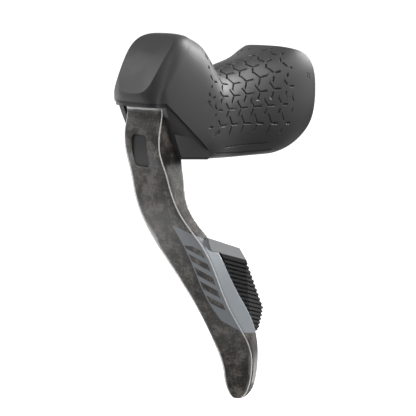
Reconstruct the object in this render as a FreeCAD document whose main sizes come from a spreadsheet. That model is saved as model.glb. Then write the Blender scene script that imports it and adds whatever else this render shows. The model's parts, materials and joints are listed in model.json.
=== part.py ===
"""Left-hand electronic brake and shift lever for a drop handlebar, in millimetres.

X points forward from the bar to the pommel, Y points outboard and Z is the bar's own axis.
The origin is the centre of the handlebar clamp.
"""
import FreeCAD, Part
import Sketcher
import math
import os

Vector = FreeCAD.Vector

# How far cutting shapes reach past the part
FAR = 140.0

SIZES = {
    # Handlebar clamp
    "bar_radius": 12.0, "bar_room": 0.5, "bar_roof": 22.0, "saddle_gap": 0.4, "saddle_reach": 6.0,
    "band_thick": 1.2, "band_height": 12.0, "band_room": 0.35, "eye_forward": 16.0,
    "barrel_radius": 3.0, "slip_fit": 0.05, "anchor_above": 9.0, "anchor_below": 7.4, "nut_inset": 0.2,
    "bolt_radius": 2.5, "bolt_shank": 19.5, "bolt_head_radius": 4.25, "bolt_head_height": 5.0,
    "bolt_key_radius": 2.0, "bolt_room": 0.25, "bolt_past_nut": 1.5, "key_trough": 13.0,
    # Rubber hood
    "hood_wall": 2.2, "hood_gap": 0.3, "hood_rear": 12.0, "grip_station": 8.0, "grip_top": 30.2,
    "grip_bottom": 20.4, "grip_half": 21.0, "rim_flare": 0.6, "waist_station": 40.0, "waist_top": 23.3,
    "waist_bottom": 19.4, "waist_half": 16.2, "nape_x": 49.5, "nape_z": 24.0, "nape_swell": 3.0,
    "throat_x": 57.0, "throat_z": -18.0, "crown_x": 68.7, "crown_z": 39.5, "chin_x": 94.3, "chin_z": 11.0,
    "pommel_half": 15.5, "brow_x": 73.6, "brow_z": 41.0, "lip_x": 94.8, "lip_z": 12.2, "brow_half": 15.3,
    "panel_low_x": 95.1, "panel_low_z": 14.5, "panel_high_x": 77.3, "panel_high_z": 39.7,
    "panel_half": 11.8, "panel_taper": 0.13, "panel_raise": 0.8, "panel_bevel": 0.95, "panel_inset": 0.3,
    "front_bow": 2.0,
    # Lever body
    "cheek_inset": 0.35, "seam_gap": 0.2, "seam_front_x": 88.5, "seam_front_z": 10.0, "seam_rear_x": 60.0,
    "seam_rear_z": -13.5, "seam_corner": 4.0, "blade_side_room": 0.8, "slot_rear": 64.5, "slot_roof": 8.5,
    "slot_flare": 0.9, "slot_flare_z": -10.5, "cheek_front_low_x": 78.2, "cheek_front_low_z": -15.0,
    "jaw_half": 14.9, "jaw_low_rear": -17.3, "jaw_low_front": -15.0, "jaw_top_rear": -9.0, "jaw_top_front": -3.5,
    "jaw_front_x": 84.0, "jaw_round": 1.4,
    # Brake pivot and blade
    "pivot_x": 78.0, "pivot_z": -2.2, "pivot_radius": 2.5, "pivot_half": 13.9, "pivot_screw_length": 1.1,
    "running_fit": 0.05, "bush_wall": 0.95, "ear_radius": 7.0, "blade_top": 8.0, "blade_front": 88.1,
    "blade_drop": 136.5, "blade_sweep": 36.0, "blade_flare": 25.8, "blade_width": 22.4, "blade_depth": 19.0,
    "blade_wall": 2.3, "crease_radius": 0.8, "inner_radius": 3.0, "head_radius": 1.0, "channel_past": 4.0,
    "window_y": -1.2, "window_z": -11.8, "window_width": 9.4, "window_height": 14.5, "window_corner": 2.2,
    "plug_gap": 0.15, "plug_recess": 0.4, "spring_wire": 0.5, "return_coil": 3.6, "return_pitch": 1.6,
    "return_turns": 6.0,
    # Master cylinder
    "crank_radius": 8.0, "crank_lead_deg": 11.0, "bore_radius": 4.5, "bore_rear": 28.0, "piston_rear": 42.0,
    "piston_front": 66.5, "piston_shoulder": 60.5, "nose_radius": 3.4, "cup_radius": 2.6, "cup_depth": 3.0,
    "seal_groove": 0.85, "seal_width": 1.8, "seal_gap": 0.1, "seal_first": 2.0, "seal_second": 14.0,
    "clip_gap": 0.3, "clip_thick": 1.0, "clip_inner": 3.7, "clip_outer": 5.1, "clip_room": 0.05,
    "reach_barrel_radius": 3.0, "reach_cover": 1.15, "reach_end_gap": 0.15, "rod_radius": 1.75,
    "ball_radius": 2.1, "ball_gap": 0.3, "rod_nose": 4.5, "rod_key_radius": 0.9, "rod_key_depth": 2.5,
    "coil_gap": 0.1, "piston_wire": 0.45, "piston_coil": 3.3, "piston_pitch": 2.6, "piston_turns": 5.0,
    # Fluid reservoir
    "tank_x": 41.0, "tank_length": 17.0, "tank_width": 8.4, "tank_floor": 7.0, "tank_top": 15.0,
    "cap_length": 24.0, "cap_width": 15.0, "cap_thick": 2.5, "cap_room": 0.3, "bladder_wall": 1.0,
    "bladder_gap": 0.2, "bladder_depth": 5.0, "cap_screw_radius": 1.0, "cap_screw_length": 5.0,
    "cap_screw_head_radius": 1.8, "cap_screw_head_height": 1.1, "cap_screw_x": 10.0, "cap_screw_y": 5.7,
    "port_radius": 0.8, "port_x": 46.0, "bleed_x": 40.0, "bleed_radius": 1.75, "bleed_head_radius": 2.8,
    "bleed_head_height": 2.0, "bleed_seat": 8.4, "bleed_length": 3.4, "bleed_key_radius": 1.0,
    "hose_radius": 4.0, "hose_depth": 10.0, "hose_x": 17.0, "hose_y": -10.5, "hose_z": -11.5,
    "hose_yaw_deg": 217.0, "hose_room": 1.0, "gallery_radius": 1.5,
    # Electronics
    "cell_x": 68.0, "cell_y": 0.0, "cell_z": 19.5, "cell_radius": 8.0, "cell_thick": 3.2, "cell_gap": 0.2,
    "hatch_radius": 9.1, "hatch_thick": 2.6, "hatch_room": 0.2, "coin_slot": 1.6, "coin_slot_depth": 1.0,
    "seal_ring_radius": 8.65, "seal_ring_wire": 0.4, "board_thick": 1.4, "contact_rise": 1.6,
    "contact_thick": 0.3, "contact_length": 8.0, "contact_width": 4.0,
    "button_x": 73.0, "button_z": -8.6, "button_radius": 2.7, "button_room": 0.3, "button_thick": 1.3,
    "button_face": 15.6, "button_floor": 13.0, "button_switch_radius": 2.0, "button_switch_thick": 0.6,
    "lens_x": 66.0, "lens_z": -10.9, "lens_radius": 0.9, "lens_floor": 12.9,
    # Shift paddle
    "paddle_axis_y": 16.0, "paddle_axis_z": -64.0, "paddle_pin_radius": 1.5, "paddle_hub_radius": 3.2,
    "lug_rear": 53.0, "lug_thick": 2.4, "lug_front": 67.0, "lug_half": 3.5, "lug_drop": 3.4,
    "bridge_rise": 5.7, "bridge_thick": 2.0, "bracket_front": 73.0, "bracket_plate_rear": 65.0,
    "bracket_plate_front": 71.3, "bracket_plate_low": -76.0, "shelf_thick": 2.0, "shelf_x": 55.5,
    "shelf_length": 12.0, "shelf_low": -77.0, "shelf_high": -71.0, "tact_side": 4.0, "tact_thick": 2.0,
    "tact_stem_radius": 0.8, "tact_stem": 0.5, "tact_margin": 0.5, "press_gap": 1.0,
    "hub_gap": 0.3, "hub_length": 5.3, "paddle_coil": 2.6, "paddle_wire": 0.3, "paddle_pitch": 0.9,
    "paddle_turns": 3.0, "arm_outer": 26.5,
    "ridge_x": 48.3, "ridge_y": 28.3, "ridge_z": -75.0, "paddle_tilt_deg": 4.5, "rear_facet_deg": 18.0,
    "plate_thick": 4.4, "grip_thick": 2.8, "grip_seam": 0.05, "tip_corner": 3.0, "paddle_gap": 1.2,
    "paddle_tip_x": 32.5, "paddle_tip_z": -88.8, "paddle_low_x": 41.5, "paddle_low_z": -98.0,
    "shoulder_front_z": -50.5, "shoulder_rear_x": 52.5, "shoulder_rear_z": -57.7, "shoulder_low_z": -63.7,
    "grip_top_front_x": 66.1, "grip_top_front_z": -58.1, "rib_pitch": 1.9, "rib_groove": 0.8,
    "rib_depth": 0.6,
}

DOC = FreeCAD.newDocument("BrakeShiftLever")
SHEET = DOC.addObject("Spreadsheet::Sheet", "Sizes")
PIECES = []


class Size:
    """A size known both as a number and as an expression on the sheet."""

    def __init__(self, number, text):
        self.number = number
        self.text = text

    def __float__(self):
        return float(self.number)

    def __add__(self, other):
        other = as_size(other)
        return Size(self.number + other.number, f"({self.text} + {other.text})")

    def __sub__(self, other):
        other = as_size(other)
        return Size(self.number - other.number, f"({self.text} - {other.text})")

    def __mul__(self, other):
        other = as_size(other)
        return Size(self.number * other.number, f"({self.text} * {other.text})")

    def __truediv__(self, other):
        other = as_size(other)
        return Size(self.number / other.number, f"({self.text} / {other.text})")

    def __neg__(self):
        return Size(-self.number, f"(-1 * {self.text})")

    __radd__ = __add__
    __rmul__ = __mul__

    def __rsub__(self, other):
        return as_size(other) - self


def as_size(value):
    """Wrap a plain number so that it can stand in an expression."""
    return value if isinstance(value, Size) else Size(float(value), f"({float(value)!r})")


class SheetSizes:
    """Reads each driving dimension back from the sheet by its alias."""

    def __getattr__(self, alias):
        return Size(float(SHEET.get(alias)), f"Sizes.{alias}")


S = SheetSizes()


def fill_sheet():
    for row, (alias, value) in enumerate(SIZES.items(), start=1):
        SHEET.set(f"A{row}", alias)
        SHEET.set(f"B{row}", str(value))
        SHEET.setAlias(f"B{row}", alias)
    DOC.recompute()


def bind(item, prop, value):
    item.setExpression(prop, as_size(value).text)


AXES = {"X": Vector(1, 0, 0), "Y": Vector(0, 1, 0), "Z": Vector(0, 0, 1)}


def place(item, start, axis="Z"):
    """Turn the item's own Z to the axis and bind its start point to the sheet."""
    item.Placement = FreeCAD.Placement(Vector(), FreeCAD.Rotation(Vector(0, 0, 1), AXES[axis]))
    for name, value in zip("xyz", start):
        bind(item, f"Placement.Base.{name}", value)


def cylinder(label, radius, length, start, axis="Z"):
    item = DOC.addObject("Part::Cylinder", label)
    bind(item, "Radius", radius)
    bind(item, "Height", length)
    place(item, start, axis)
    return item


def ring(label, inner, outer, length, start, axis="Z"):
    return cut(label, cylinder(label + "_rim", outer, length, start, axis),
               cylinder(label + "_hole", inner, length, start, axis))


def box(label, low, high):
    item = DOC.addObject("Part::Box", label)
    for prop, first, last in zip(("Length", "Width", "Height"), low, high):
        bind(item, prop, as_size(last) - first)
    place(item, low)
    return item


def sphere(label, radius, centre):
    item = DOC.addObject("Part::Sphere", label)
    bind(item, "Radius", radius)
    place(item, centre)
    return item


def hexagon(label, radius, length, start, axis):
    item = DOC.addObject("Part::Prism", label)
    item.Polygon = 6
    bind(item, "Circumradius", radius)
    bind(item, "Height", length)
    place(item, start, axis)
    return item


def fuse(label, *parts):
    item = DOC.addObject("Part::MultiFuse", label)
    item.Shapes = list(parts)
    item.Refine = False
    return item


def cut(label, base, *tools):
    item = DOC.addObject("Part::Cut", label)
    item.Base = base
    item.Tool = tools[0] if len(tools) == 1 else fuse(label + "_tools", *tools)
    item.Refine = False
    return item


def common(label, first, second):
    item = DOC.addObject("Part::Common", label)
    item.Base = first
    item.Tool = second
    item.Refine = False
    return item


def made(label, shape):
    """A free-form shape that no primitive gives."""
    item = DOC.addObject("Part::Feature", label)
    item.Shape = shape
    return item


def largest(label, item):
    """The largest solid of what a trim leaves, without its loose slivers."""
    DOC.recompute()
    return made(label, max(item.Shape.Solids, key=lambda solid: solid.Volume))


def side_prism(label, outline, half_width=FAR, corner=None):
    """Carry an outline of (X, Z) points across the part, with one rounded corner if asked."""
    points = [Vector(float(x), -half_width, float(z)) for x, z in outline]
    face = Part.Face(Part.makePolygon(points + points[:1]))
    solid = face.extrude(Vector(0, 2 * half_width, 0))
    if corner is not None:
        index, radius = corner
        x, z = (float(value) for value in outline[index])
        edges = [edge for edge in solid.Edges if is_cross_edge(edge, x, z)]
        solid = solid.makeFillet(float(radius), edges)
    return made(label, solid)


def is_cross_edge(edge, x, z):
    """True for an edge that runs along Y through the given side-view point."""
    ends = [vertex.Point for vertex in edge.Vertexes]
    return all(abs(point.x - x) < 1e-6 and abs(point.z - z) < 1e-6 for point in ends)


def spring(label, radius, wire, pitch, turns, start, axis):
    """A coil of round wire: half tori in planes that tilt to and fro, each square to the next."""
    radius, rise = float(radius), float(pitch) / 2
    halves = []
    for half in range(2 * int(round(float(turns)))):
        side = 1 if half % 2 == 0 else -1
        beginning = Vector(side * radius, 0, half * rise)
        middle = Vector(0, 0, (half + 0.5) * rise)
        tilted_axis = Vector(side * rise, 0, 2 * radius)
        section = Part.Face(Part.Wire([Part.makeCircle(float(wire), beginning, Vector(0, 1, 0))]))
        halves.append(section.revolve(middle, tilted_axis, 180))
    coil = made(label, halves[0].multiFuse(halves[1:]))
    place(coil, start, axis)
    return coil


def turned(label, outline, start, axis):
    """A lathe-turned body: (radius, along) points about its own Z, then set in place."""
    body = DOC.addObject("PartDesign::Body", label)
    planes = {plane.Role: plane for plane in body.Origin.OriginFeatures}
    sketch = body.newObject("Sketcher::SketchObject", label + "_profile")
    sketch.AttachmentSupport = (planes["XZ_Plane"], [""])
    sketch.MapMode = "FlatFace"
    corners = [Vector(float(as_size(radius)), float(as_size(along)), 0) for radius, along in outline]
    for first, second in zip(corners, corners[1:] + corners[:1]):
        sketch.addGeometry(Part.LineSegment(first, second), False)
    count = len(corners)
    sketch.addConstraint([join_lines(index, count) for index in range(count)])
    for index, (radius, along) in enumerate(outline):
        hold_point(sketch, index, "DistanceX", radius, -2)
        hold_point(sketch, index, "DistanceY", along, -1)
    lathe = body.newObject("PartDesign::Revolution", label + "_turned")
    lathe.Profile = sketch
    lathe.ReferenceAxis = (sketch, ["V_Axis"])
    lathe.Angle = 360
    body.Tip = lathe
    place(body, start, axis)
    return body


def join_lines(index, count):
    return Sketcher.Constraint("Coincident", index, 2, (index + 1) % count, 1)


def hold_point(sketch, index, kind, value, zero_axis):
    """Hold a line's first point at a sheet size, or on the axis where the size is nought."""
    value = as_size(value)
    if value.number == 0:
        sketch.addConstraint(Sketcher.Constraint("PointOnObject", index, 1, zero_axis))
        return
    held = sketch.addConstraint(Sketcher.Constraint(kind, -1, 1, index, 1, value.number))
    sketch.setExpression(f"Constraints[{held}]", value.text)


def keep(label, item):
    """Name a finished sub-part; its label names its file."""
    item.Label = label
    PIECES.append(item)
    return item


def blend(first, second, share):
    return float(first) * (1 - share) + float(second) * share


def hood_section(bottom, top, half, powers, inset, taper=0.0, bow=0.0, share=1.0):
    """A closed superellipse on the line from bottom to top, bowed forwards between its ends if asked."""
    low = Vector(bottom[0], 0, bottom[1])
    high = Vector(top[0], 0, top[1])
    centre = (low + high) * 0.5
    rise = (high - low).normalize()
    forward = Vector(rise.z, 0, -rise.x)
    half_height = ((high - low).Length / 2 - inset) * share
    points = []
    steps = 32
    for step in range(steps):
        angle = 2 * math.pi * (step + 0.5) / steps
        power = 2 / (powers[0] if math.sin(angle) >= 0 else powers[1])
        across = math.copysign(abs(math.cos(angle)) ** power, math.cos(angle))
        along = math.copysign(abs(math.sin(angle)) ** power, math.sin(angle))
        width = (half - inset) * share * (1 + taper * along)
        swell = bow * (1 - (share * along) ** 2)
        points.append(centre + Vector(0, across * width, 0) + rise * (along * half_height) + forward * swell)
    curve = Part.BSplineCurve()
    curve.interpolate(points, PeriodicFlag=True)
    return Part.Wire([curve.toShape()])


# How much sooner than evenly the grip's top and sides run down to the waist
TOP_HASTE, SIDE_HASTE = 0.15, 0.2
# Superellipse powers of the hood's sections, for the upper and the lower half
FULL, SOFT, NAPE, POMMEL, PANEL_FACE = (3.3, 2.6), (2.4, 2.6), (2.7, 4.6), (3.6, 4.6), (3.6, 3.4)


def hood_loft(inset, front_inset):
    """The grip's skin, moved inwards: straight stations, then a fan of stations round the chin."""
    rear, grip, waist = -float(S.hood_rear), float(S.grip_station), float(S.waist_station)
    wide = float(S.grip_half)
    flare = float(S.rim_flare)
    sections = [
        hood_section((rear, -float(S.grip_bottom)), (rear, float(S.grip_top) + flare), wide + flare / 2, FULL,
                     inset),
        hood_section((grip, -float(S.grip_bottom)), (grip, float(S.grip_top)), wide, FULL, inset),
    ]
    for share in (0.5, 1.0):
        x = blend(grip, waist, share)
        bottom = -blend(S.grip_bottom, S.waist_bottom, share)
        top = blend(S.grip_top, S.waist_top, share + TOP_HASTE * share * (1 - share))
        half = blend(wide, S.waist_half, share + SIDE_HASTE * share * (1 - share))
        sections.append(hood_section((x, bottom), (x, top), half, SOFT, inset))
    normal_x = float(S.crown_z) - float(S.chin_z)
    normal_z = float(S.chin_x) - float(S.crown_x)
    reach = math.hypot(normal_x, normal_z)
    spine = Vector(float(S.crown_x - S.nape_x), 0, float(S.crown_z - S.nape_z)).normalize()
    for degrees in (0, 24, 46, 68, 90):
        turn = math.sin(math.radians(degrees))
        fall = math.cos(math.radians(degrees))
        back = front_inset if degrees == 90 else 0.0
        shift = (-back * normal_x / reach, -back * normal_z / reach)
        bottom = (blend(S.throat_x, S.chin_x, turn) + shift[0],
                  blend(S.chin_z, S.throat_z, fall) + shift[1])
        swell = float(S.nape_swell) * 4 * turn * (1 - turn)
        top = (blend(S.nape_x, S.crown_x, turn) + shift[0] - swell * spine.z,
               blend(S.nape_z, S.crown_z, turn) + shift[1] + swell * spine.x)
        half = blend(S.waist_half, S.pommel_half, turn)
        powers = [blend(first, last, turn) for first, last in zip(NAPE, POMMEL)]
        sections.append(hood_section(bottom, top, half, powers, inset))
    return Part.makeLoft(sections, True, False)


def moved(point, direction, distance):
    """A side-view point carried some way along a side-view direction."""
    return (point[0] + direction[0] * distance, point[1] + direction[1] * distance)


def eased(first, middle, last, step):
    """A smooth way from the first value to the last that leans towards the middle one."""
    return first * (1 - step) ** 2 + 2 * middle * step * (1 - step) + last * step ** 2


def pommel_nose():
    """The bowed front of the pommel and its raised, bevelled panel."""
    low = (float(S.panel_low_x), float(S.panel_low_z))
    high = (float(S.panel_high_x), float(S.panel_high_z))
    half, taper, bow = float(S.panel_half), float(S.panel_taper), float(S.front_bow)
    bevel, inset = float(S.panel_bevel), float(S.panel_inset)
    length = math.hypot(high[0] - low[0], high[1] - low[1])
    out = ((high[1] - low[1]) / length, (low[0] - high[0]) / length)
    middle_share = 0.3

    def panel_ring(lift, edge, share=1.0, swell=bow):
        start, end = moved(low, out, lift), moved(high, out, lift)
        return hood_section(start, end, half, PANEL_FACE, edge, taper, swell, share)

    chin, crown = (float(S.chin_x), float(S.chin_z)), (float(S.crown_x), float(S.crown_z))
    lip, brow = (float(S.lip_x), float(S.lip_z)), (float(S.brow_x), float(S.brow_z))
    round_front = []
    for step in (0.0, 0.17, 0.34, 0.51, 0.68, 0.84):
        bottom, top = (tuple(eased(*values, step) for values in zip(*ends))
                       for ends in ((chin, lip, low), (crown, brow, high)))
        width = eased(float(S.pommel_half), float(S.brow_half), half, step)
        round_front.append(hood_section(bottom, top, width, POMMEL, 0, taper * step, bow * step))
    round_front += [panel_ring(0.0, 0.0), panel_ring(bow, 0.0, middle_share, 0.0)]
    raised = float(S.panel_raise)
    panel = [panel_ring(-inset, inset, 1.0, 0.0), panel_ring(0.0, inset), panel_ring(raised, bevel)]
    panel += [panel_ring(raised, bevel, share) for share in (0.8, 0.6, 0.45)]
    panel.append(panel_ring(raised + bow, bevel, middle_share, 0.0))
    return Part.makeLoft(round_front, True, True).fuse(Part.makeLoft(panel, True, True))


# Rear rim seen from the side, from its top down: shares of the rear reach, then of the top or bottom height
RIM_LINE = ((-0.6, 1.12), (-0.17, 1.02), (0.21, 0.96), (0.50, 0.86), (0.68, 0.69), (0.74, 0.37),
            (0.65, 0.00), (0.42, -0.43), (-0.12, -0.76), (-0.75, -0.96), (-1.25, -1.25))


def rim_trim():
    """Everything behind the hood's rear rim, seen from the side."""
    rear = float(S.hood_rear)
    heights = (float(S.grip_top), float(S.grip_bottom))
    rim = [Vector(-back * rear, -FAR, up * heights[0 if up >= 0 else 1]) for back, up in RIM_LINE]
    curve = Part.BSplineCurve()
    curve.interpolate(rim)
    behind = [rim[-1], Vector(-FAR, -FAR, rim[-1].z), Vector(-FAR, -FAR, rim[0].z), rim[0]]
    lines = [Part.makeLine(first, second) for first, second in zip(behind, behind[1:])]
    face = Part.Face(Part.Wire([curve.toShape()] + lines))
    return face.extrude(Vector(0, 2 * FAR, 0))


def seam_outline(gap):
    """Side-view region where the bare body shows below the rubber."""
    front_x, front_z = S.seam_front_x - gap, S.seam_front_z + gap
    return [(FAR, front_z), (front_x, front_z), (S.seam_rear_x - gap, S.seam_rear_z + gap),
            (S.seam_rear_x - gap, -FAR), (FAR, -FAR)]


def make_hood():
    outer = made("hood_skin", hood_loft(0.0, 0.0).fuse(pommel_nose()))
    inner = made("hood_inside", hood_loft(float(S.hood_wall), float(S.hood_wall)))
    seam = side_prism("hood_seam", seam_outline(S.seam_gap), corner=(2, S.seam_corner + S.seam_gap))
    rim = made("hood_rim", rim_trim())
    bar = cylinder("hood_bar_room", S.bar_radius + S.bar_room, S.bar_roof + FAR, (0, 0, -FAR))
    keep("hood_cover", cut("hood_shell", outer, inner, seam, rim, bar))


def cheek_jaw():
    """Block that carries the cheeks down beside the blade, with rounded lower edges."""
    rear, front, half = float(S.seam_rear_x), float(S.jaw_front_x), float(S.jaw_half)
    outline = [Vector(rear, -half, float(S.jaw_top_rear)), Vector(rear, -half, float(S.jaw_low_rear)),
               Vector(front, -half, float(S.jaw_low_front)), Vector(front, -half, float(S.jaw_top_front))]
    block = Part.Face(Part.makePolygon(outline + outline[:1])).extrude(Vector(0, 2 * half, 0))
    low = max(float(S.jaw_low_rear), float(S.jaw_low_front))
    edges = [edge for edge in block.Edges if max(vertex.Point.z for vertex in edge.Vertexes) <= low
             and abs(edge.Vertexes[0].Point.y - edge.Vertexes[-1].Point.y) < half]
    return block.makeFillet(float(S.jaw_round), edges)


def make_body():
    core = made("body_core", hood_loft(float(S.hood_wall + S.hood_gap), float(S.hood_wall + S.hood_gap)))
    skin = made("body_skin", hood_loft(float(S.cheek_inset), float(S.cheek_inset)))
    cheek_zone = side_prism("cheek_zone", seam_outline(0.0), corner=(2, S.seam_corner))
    cheeks = common("body_cheeks", fuse("cheek_blank", skin, made("cheek_jaw", cheek_jaw())), cheek_zone)
    slope = (S.seam_front_x - S.cheek_front_low_x) / (S.slot_roof - S.cheek_front_low_z)
    low_x = S.seam_front_x - slope * (S.slot_roof + FAR)
    front = side_prism("cheek_front", [(S.seam_front_x, S.slot_roof), (low_x, -FAR), (FAR, -FAR),
                                       (FAR, S.slot_roof)])
    slot_half = S.blade_width / 2 + S.blade_side_room
    slot = box("blade_slot", (S.slot_rear, -slot_half, -FAR), (FAR, slot_half, S.slot_roof))
    wide_half = slot_half + S.slot_flare
    slot_foot = box("slot_foot", (S.slot_rear, -wide_half, -FAR), (FAR, wide_half, S.slot_flare_z))
    saddle = cylinder("bar_saddle", S.bar_radius + S.saddle_gap, 2 * FAR, (0, 0, -FAR))
    rear = box("saddle_trim", (-FAR, -FAR, -FAR), (S.saddle_reach, FAR, FAR))
    block = fuse("body_block", core, cheeks)
    tools = [front, slot, slot_foot, saddle, rear]
    tools += clamp_pockets() + cylinder_bores() + tank_pockets() + electronics_pockets()
    lens_start = (S.lens_x, -S.lens_floor - FAR, S.lens_z)
    lens_hole = cylinder("lens_hole", S.lens_radius, FAR, lens_start, "Y")
    body = cut("body_machined", block, *tools, lens_hole)
    keep("lever_body", body)
    lens_bar = cylinder("lens_bar", S.lens_radius, FAR, lens_start, "Y")
    keep("status_lens", common("lens_trimmed", lens_bar, cheeks))


def eye_side():
    """Distance of the band's eyes from the middle, so that eye and leg share one outer face."""
    return S.bar_radius - S.barrel_radius - S.slip_fit


def clamp_pockets():
    room = S.band_room
    outer = S.barrel_radius + S.slip_fit + S.band_thick + room
    half = S.band_height / 2 + room
    side = eye_side()
    pockets = []
    for name, sign in (("outboard", 1), ("inboard", -1)):
        pockets.append(cylinder(f"eye_room_{name}", outer, half * 2, (S.eye_forward, side * sign, -half)))
        near, far = S.bar_radius - room, S.bar_radius + S.band_thick + room
        low, high = (near, far) if sign > 0 else (-far, -near)
        pockets.append(box(f"leg_room_{name}", (0, low, -half), (S.eye_forward, high, half)))
    seat = S.eye_forward - S.bolt_past_nut + S.bolt_shank
    pockets.append(cylinder("bolt_hole", S.bolt_radius + S.bolt_room, S.bolt_shank,
                            (S.eye_forward, side, 0), "X"))
    reach = S.bolt_head_radius + S.bolt_room
    pockets.append(box("bolt_trough", (seat, side - reach, -reach),
                       (seat + S.bolt_head_height + S.key_trough, FAR, reach)))
    pockets.append(cylinder("anchor_hole", S.barrel_radius + S.slip_fit, S.anchor_above + S.anchor_below,
                            (S.eye_forward, -side, -S.anchor_below)))
    return pockets


def make_clamp():
    half = S.band_height / 2
    outer = S.bar_radius + S.band_thick
    hoop = ring("band_hoop", S.bar_radius, outer, S.band_height, (0, 0, -half))
    rear_half = box("band_rear", (-outer * 2, -outer * 2, -S.band_height), (0, outer * 2, S.band_height))
    parts = [common("band_half", hoop, rear_half)]
    eye_inner = S.barrel_radius + S.slip_fit
    side = eye_side()
    holes = []
    for name, sign in (("outboard", 1), ("inboard", -1)):
        low, high = (S.bar_radius, outer) if sign > 0 else (-outer, -S.bar_radius)
        parts.append(box(f"band_leg_{name}", (0, low, -half), (S.eye_forward, high, half)))
        start = (S.eye_forward, side * sign, -half)
        parts.append(cylinder(f"band_eye_{name}", eye_inner + S.band_thick, S.band_height, start))
        holes.append(cylinder(f"band_eye_hole_{name}", eye_inner, S.band_height, start))
    window = cylinder("band_bolt_hole", S.bolt_radius + S.bolt_room, S.bar_radius,
                      (S.eye_forward, side, 0), "X")
    keep("clamp_band", cut("band_cut", fuse("band_whole", *parts), *holes, window))

    nut = cylinder("nut_barrel", S.barrel_radius, S.band_height - S.nut_inset * 2,
                   (S.eye_forward, side, -half + S.nut_inset))
    thread = cylinder("nut_thread", S.bolt_radius, S.barrel_radius * 4,
                      (S.eye_forward - S.barrel_radius * 2, side, 0), "X")
    keep("clamp_nut", cut("nut_drilled", nut, thread))
    keep("anchor_pin", cylinder("anchor_bar", S.barrel_radius, S.anchor_above + S.anchor_below,
                                (S.eye_forward, -side, -S.anchor_below)))
    shank, whole = S.bolt_shank, S.bolt_shank + S.bolt_head_height
    outline = [(0, 0), (S.bolt_radius, 0), (S.bolt_radius, shank), (S.bolt_head_radius, shank),
               (S.bolt_head_radius, whole), (0, whole)]
    start = (S.eye_forward - S.bolt_past_nut, side, 0)
    blank = turned("bolt_blank", outline, start, "X")
    key = hexagon("bolt_key", S.bolt_key_radius, S.bolt_head_height,
                  (start[0] + shank + S.bolt_head_height * 0.4, side, 0), "X")
    keep("clamp_bolt", cut("bolt_cut", blank, key))


def crank_point():
    """The reach barrel's centre: a short crank below the brake pivot, leaning forward at rest."""
    lead = math.radians(float(S.crank_lead_deg))
    return (S.pivot_x + S.crank_radius * math.sin(lead), S.pivot_z - S.crank_radius * math.cos(lead))


def reach_half():
    """Half the reach barrel's hole, which stops short of the blade's flanks."""
    return S.blade_width / 2 - S.reach_cover


def cylinder_bores():
    axis_z = crank_point()[1]
    clip_at = S.piston_shoulder + S.clip_gap
    screw_hole = cylinder("pivot_hole", S.pivot_radius + S.slip_fit / 2, FAR + S.pivot_half,
                          (S.pivot_x, -FAR, S.pivot_z), "Y")
    bore = cylinder("piston_bore", S.bore_radius, S.slot_rear - S.bore_rear + S.bore_radius,
                    (S.bore_rear, 0, axis_z), "X")
    groove = cylinder("clip_groove", S.clip_outer + S.clip_room, S.clip_thick + S.clip_room,
                      (clip_at, 0, axis_z), "X")
    yaw = math.radians(float(S.hose_yaw_deg))
    mouth = Vector(float(S.hose_x), float(S.hose_y), float(S.hose_z))
    way = Vector(math.cos(yaw), math.sin(yaw), 0)
    port = made("hose_hole", Part.makeCylinder(float(S.hose_radius), float(S.hose_depth), mouth, way * -1))
    relief = made("hose_relief", Part.makeCylinder(float(S.hose_radius + S.hose_room), FAR, mouth, way))
    inner_end = mouth - way * float(S.hose_depth)
    bore_end = Vector(float(S.bore_rear + S.gallery_radius), 0, float(axis_z))
    run = bore_end - inner_end
    gallery = made("hose_gallery", Part.makeCylinder(float(S.gallery_radius), run.Length, inner_end, run))
    vent = cylinder("tank_port", S.port_radius, S.tank_floor - axis_z, (S.port_x, 0, axis_z))
    bleed_out = cylinder("bleed_room", S.bleed_head_radius + S.cap_room, FAR,
                         (S.bleed_x, -S.bleed_seat - FAR, axis_z), "Y")
    bleed_hole = cylinder("bleed_hole", S.bleed_radius, S.bleed_seat, (S.bleed_x, -S.bleed_seat, axis_z), "Y")
    return [screw_hole, bore, groove, port, relief, gallery, vent, bleed_out, bleed_hole]


def tank_pockets():
    half_length, half_width = S.tank_length / 2, S.tank_width / 2
    cap_l, cap_w = S.cap_length / 2 + S.cap_room, S.cap_width / 2 + S.cap_room
    tank = box("tank", (S.tank_x - half_length, -half_width, S.tank_floor),
               (S.tank_x + half_length, half_width, S.tank_top))
    recess = box("cap_recess", (S.tank_x - cap_l, -cap_w, S.tank_top), (S.tank_x + cap_l, cap_w, FAR))
    return [tank, recess] + cap_screw_bars("cap_hole", S.cap_screw_radius, S.cap_screw_length,
                                           S.tank_top - S.cap_screw_length)


def cap_screw_bars(label, radius, length, low):
    bars = []
    for index, (end, side) in enumerate(((-1, -1), (-1, 1), (1, -1), (1, 1))):
        centre = (S.tank_x + S.cap_screw_x * end, S.cap_screw_y * side, low)
        bars.append(cylinder(f"{label}_{index}", radius, length, centre))
    return bars


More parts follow.
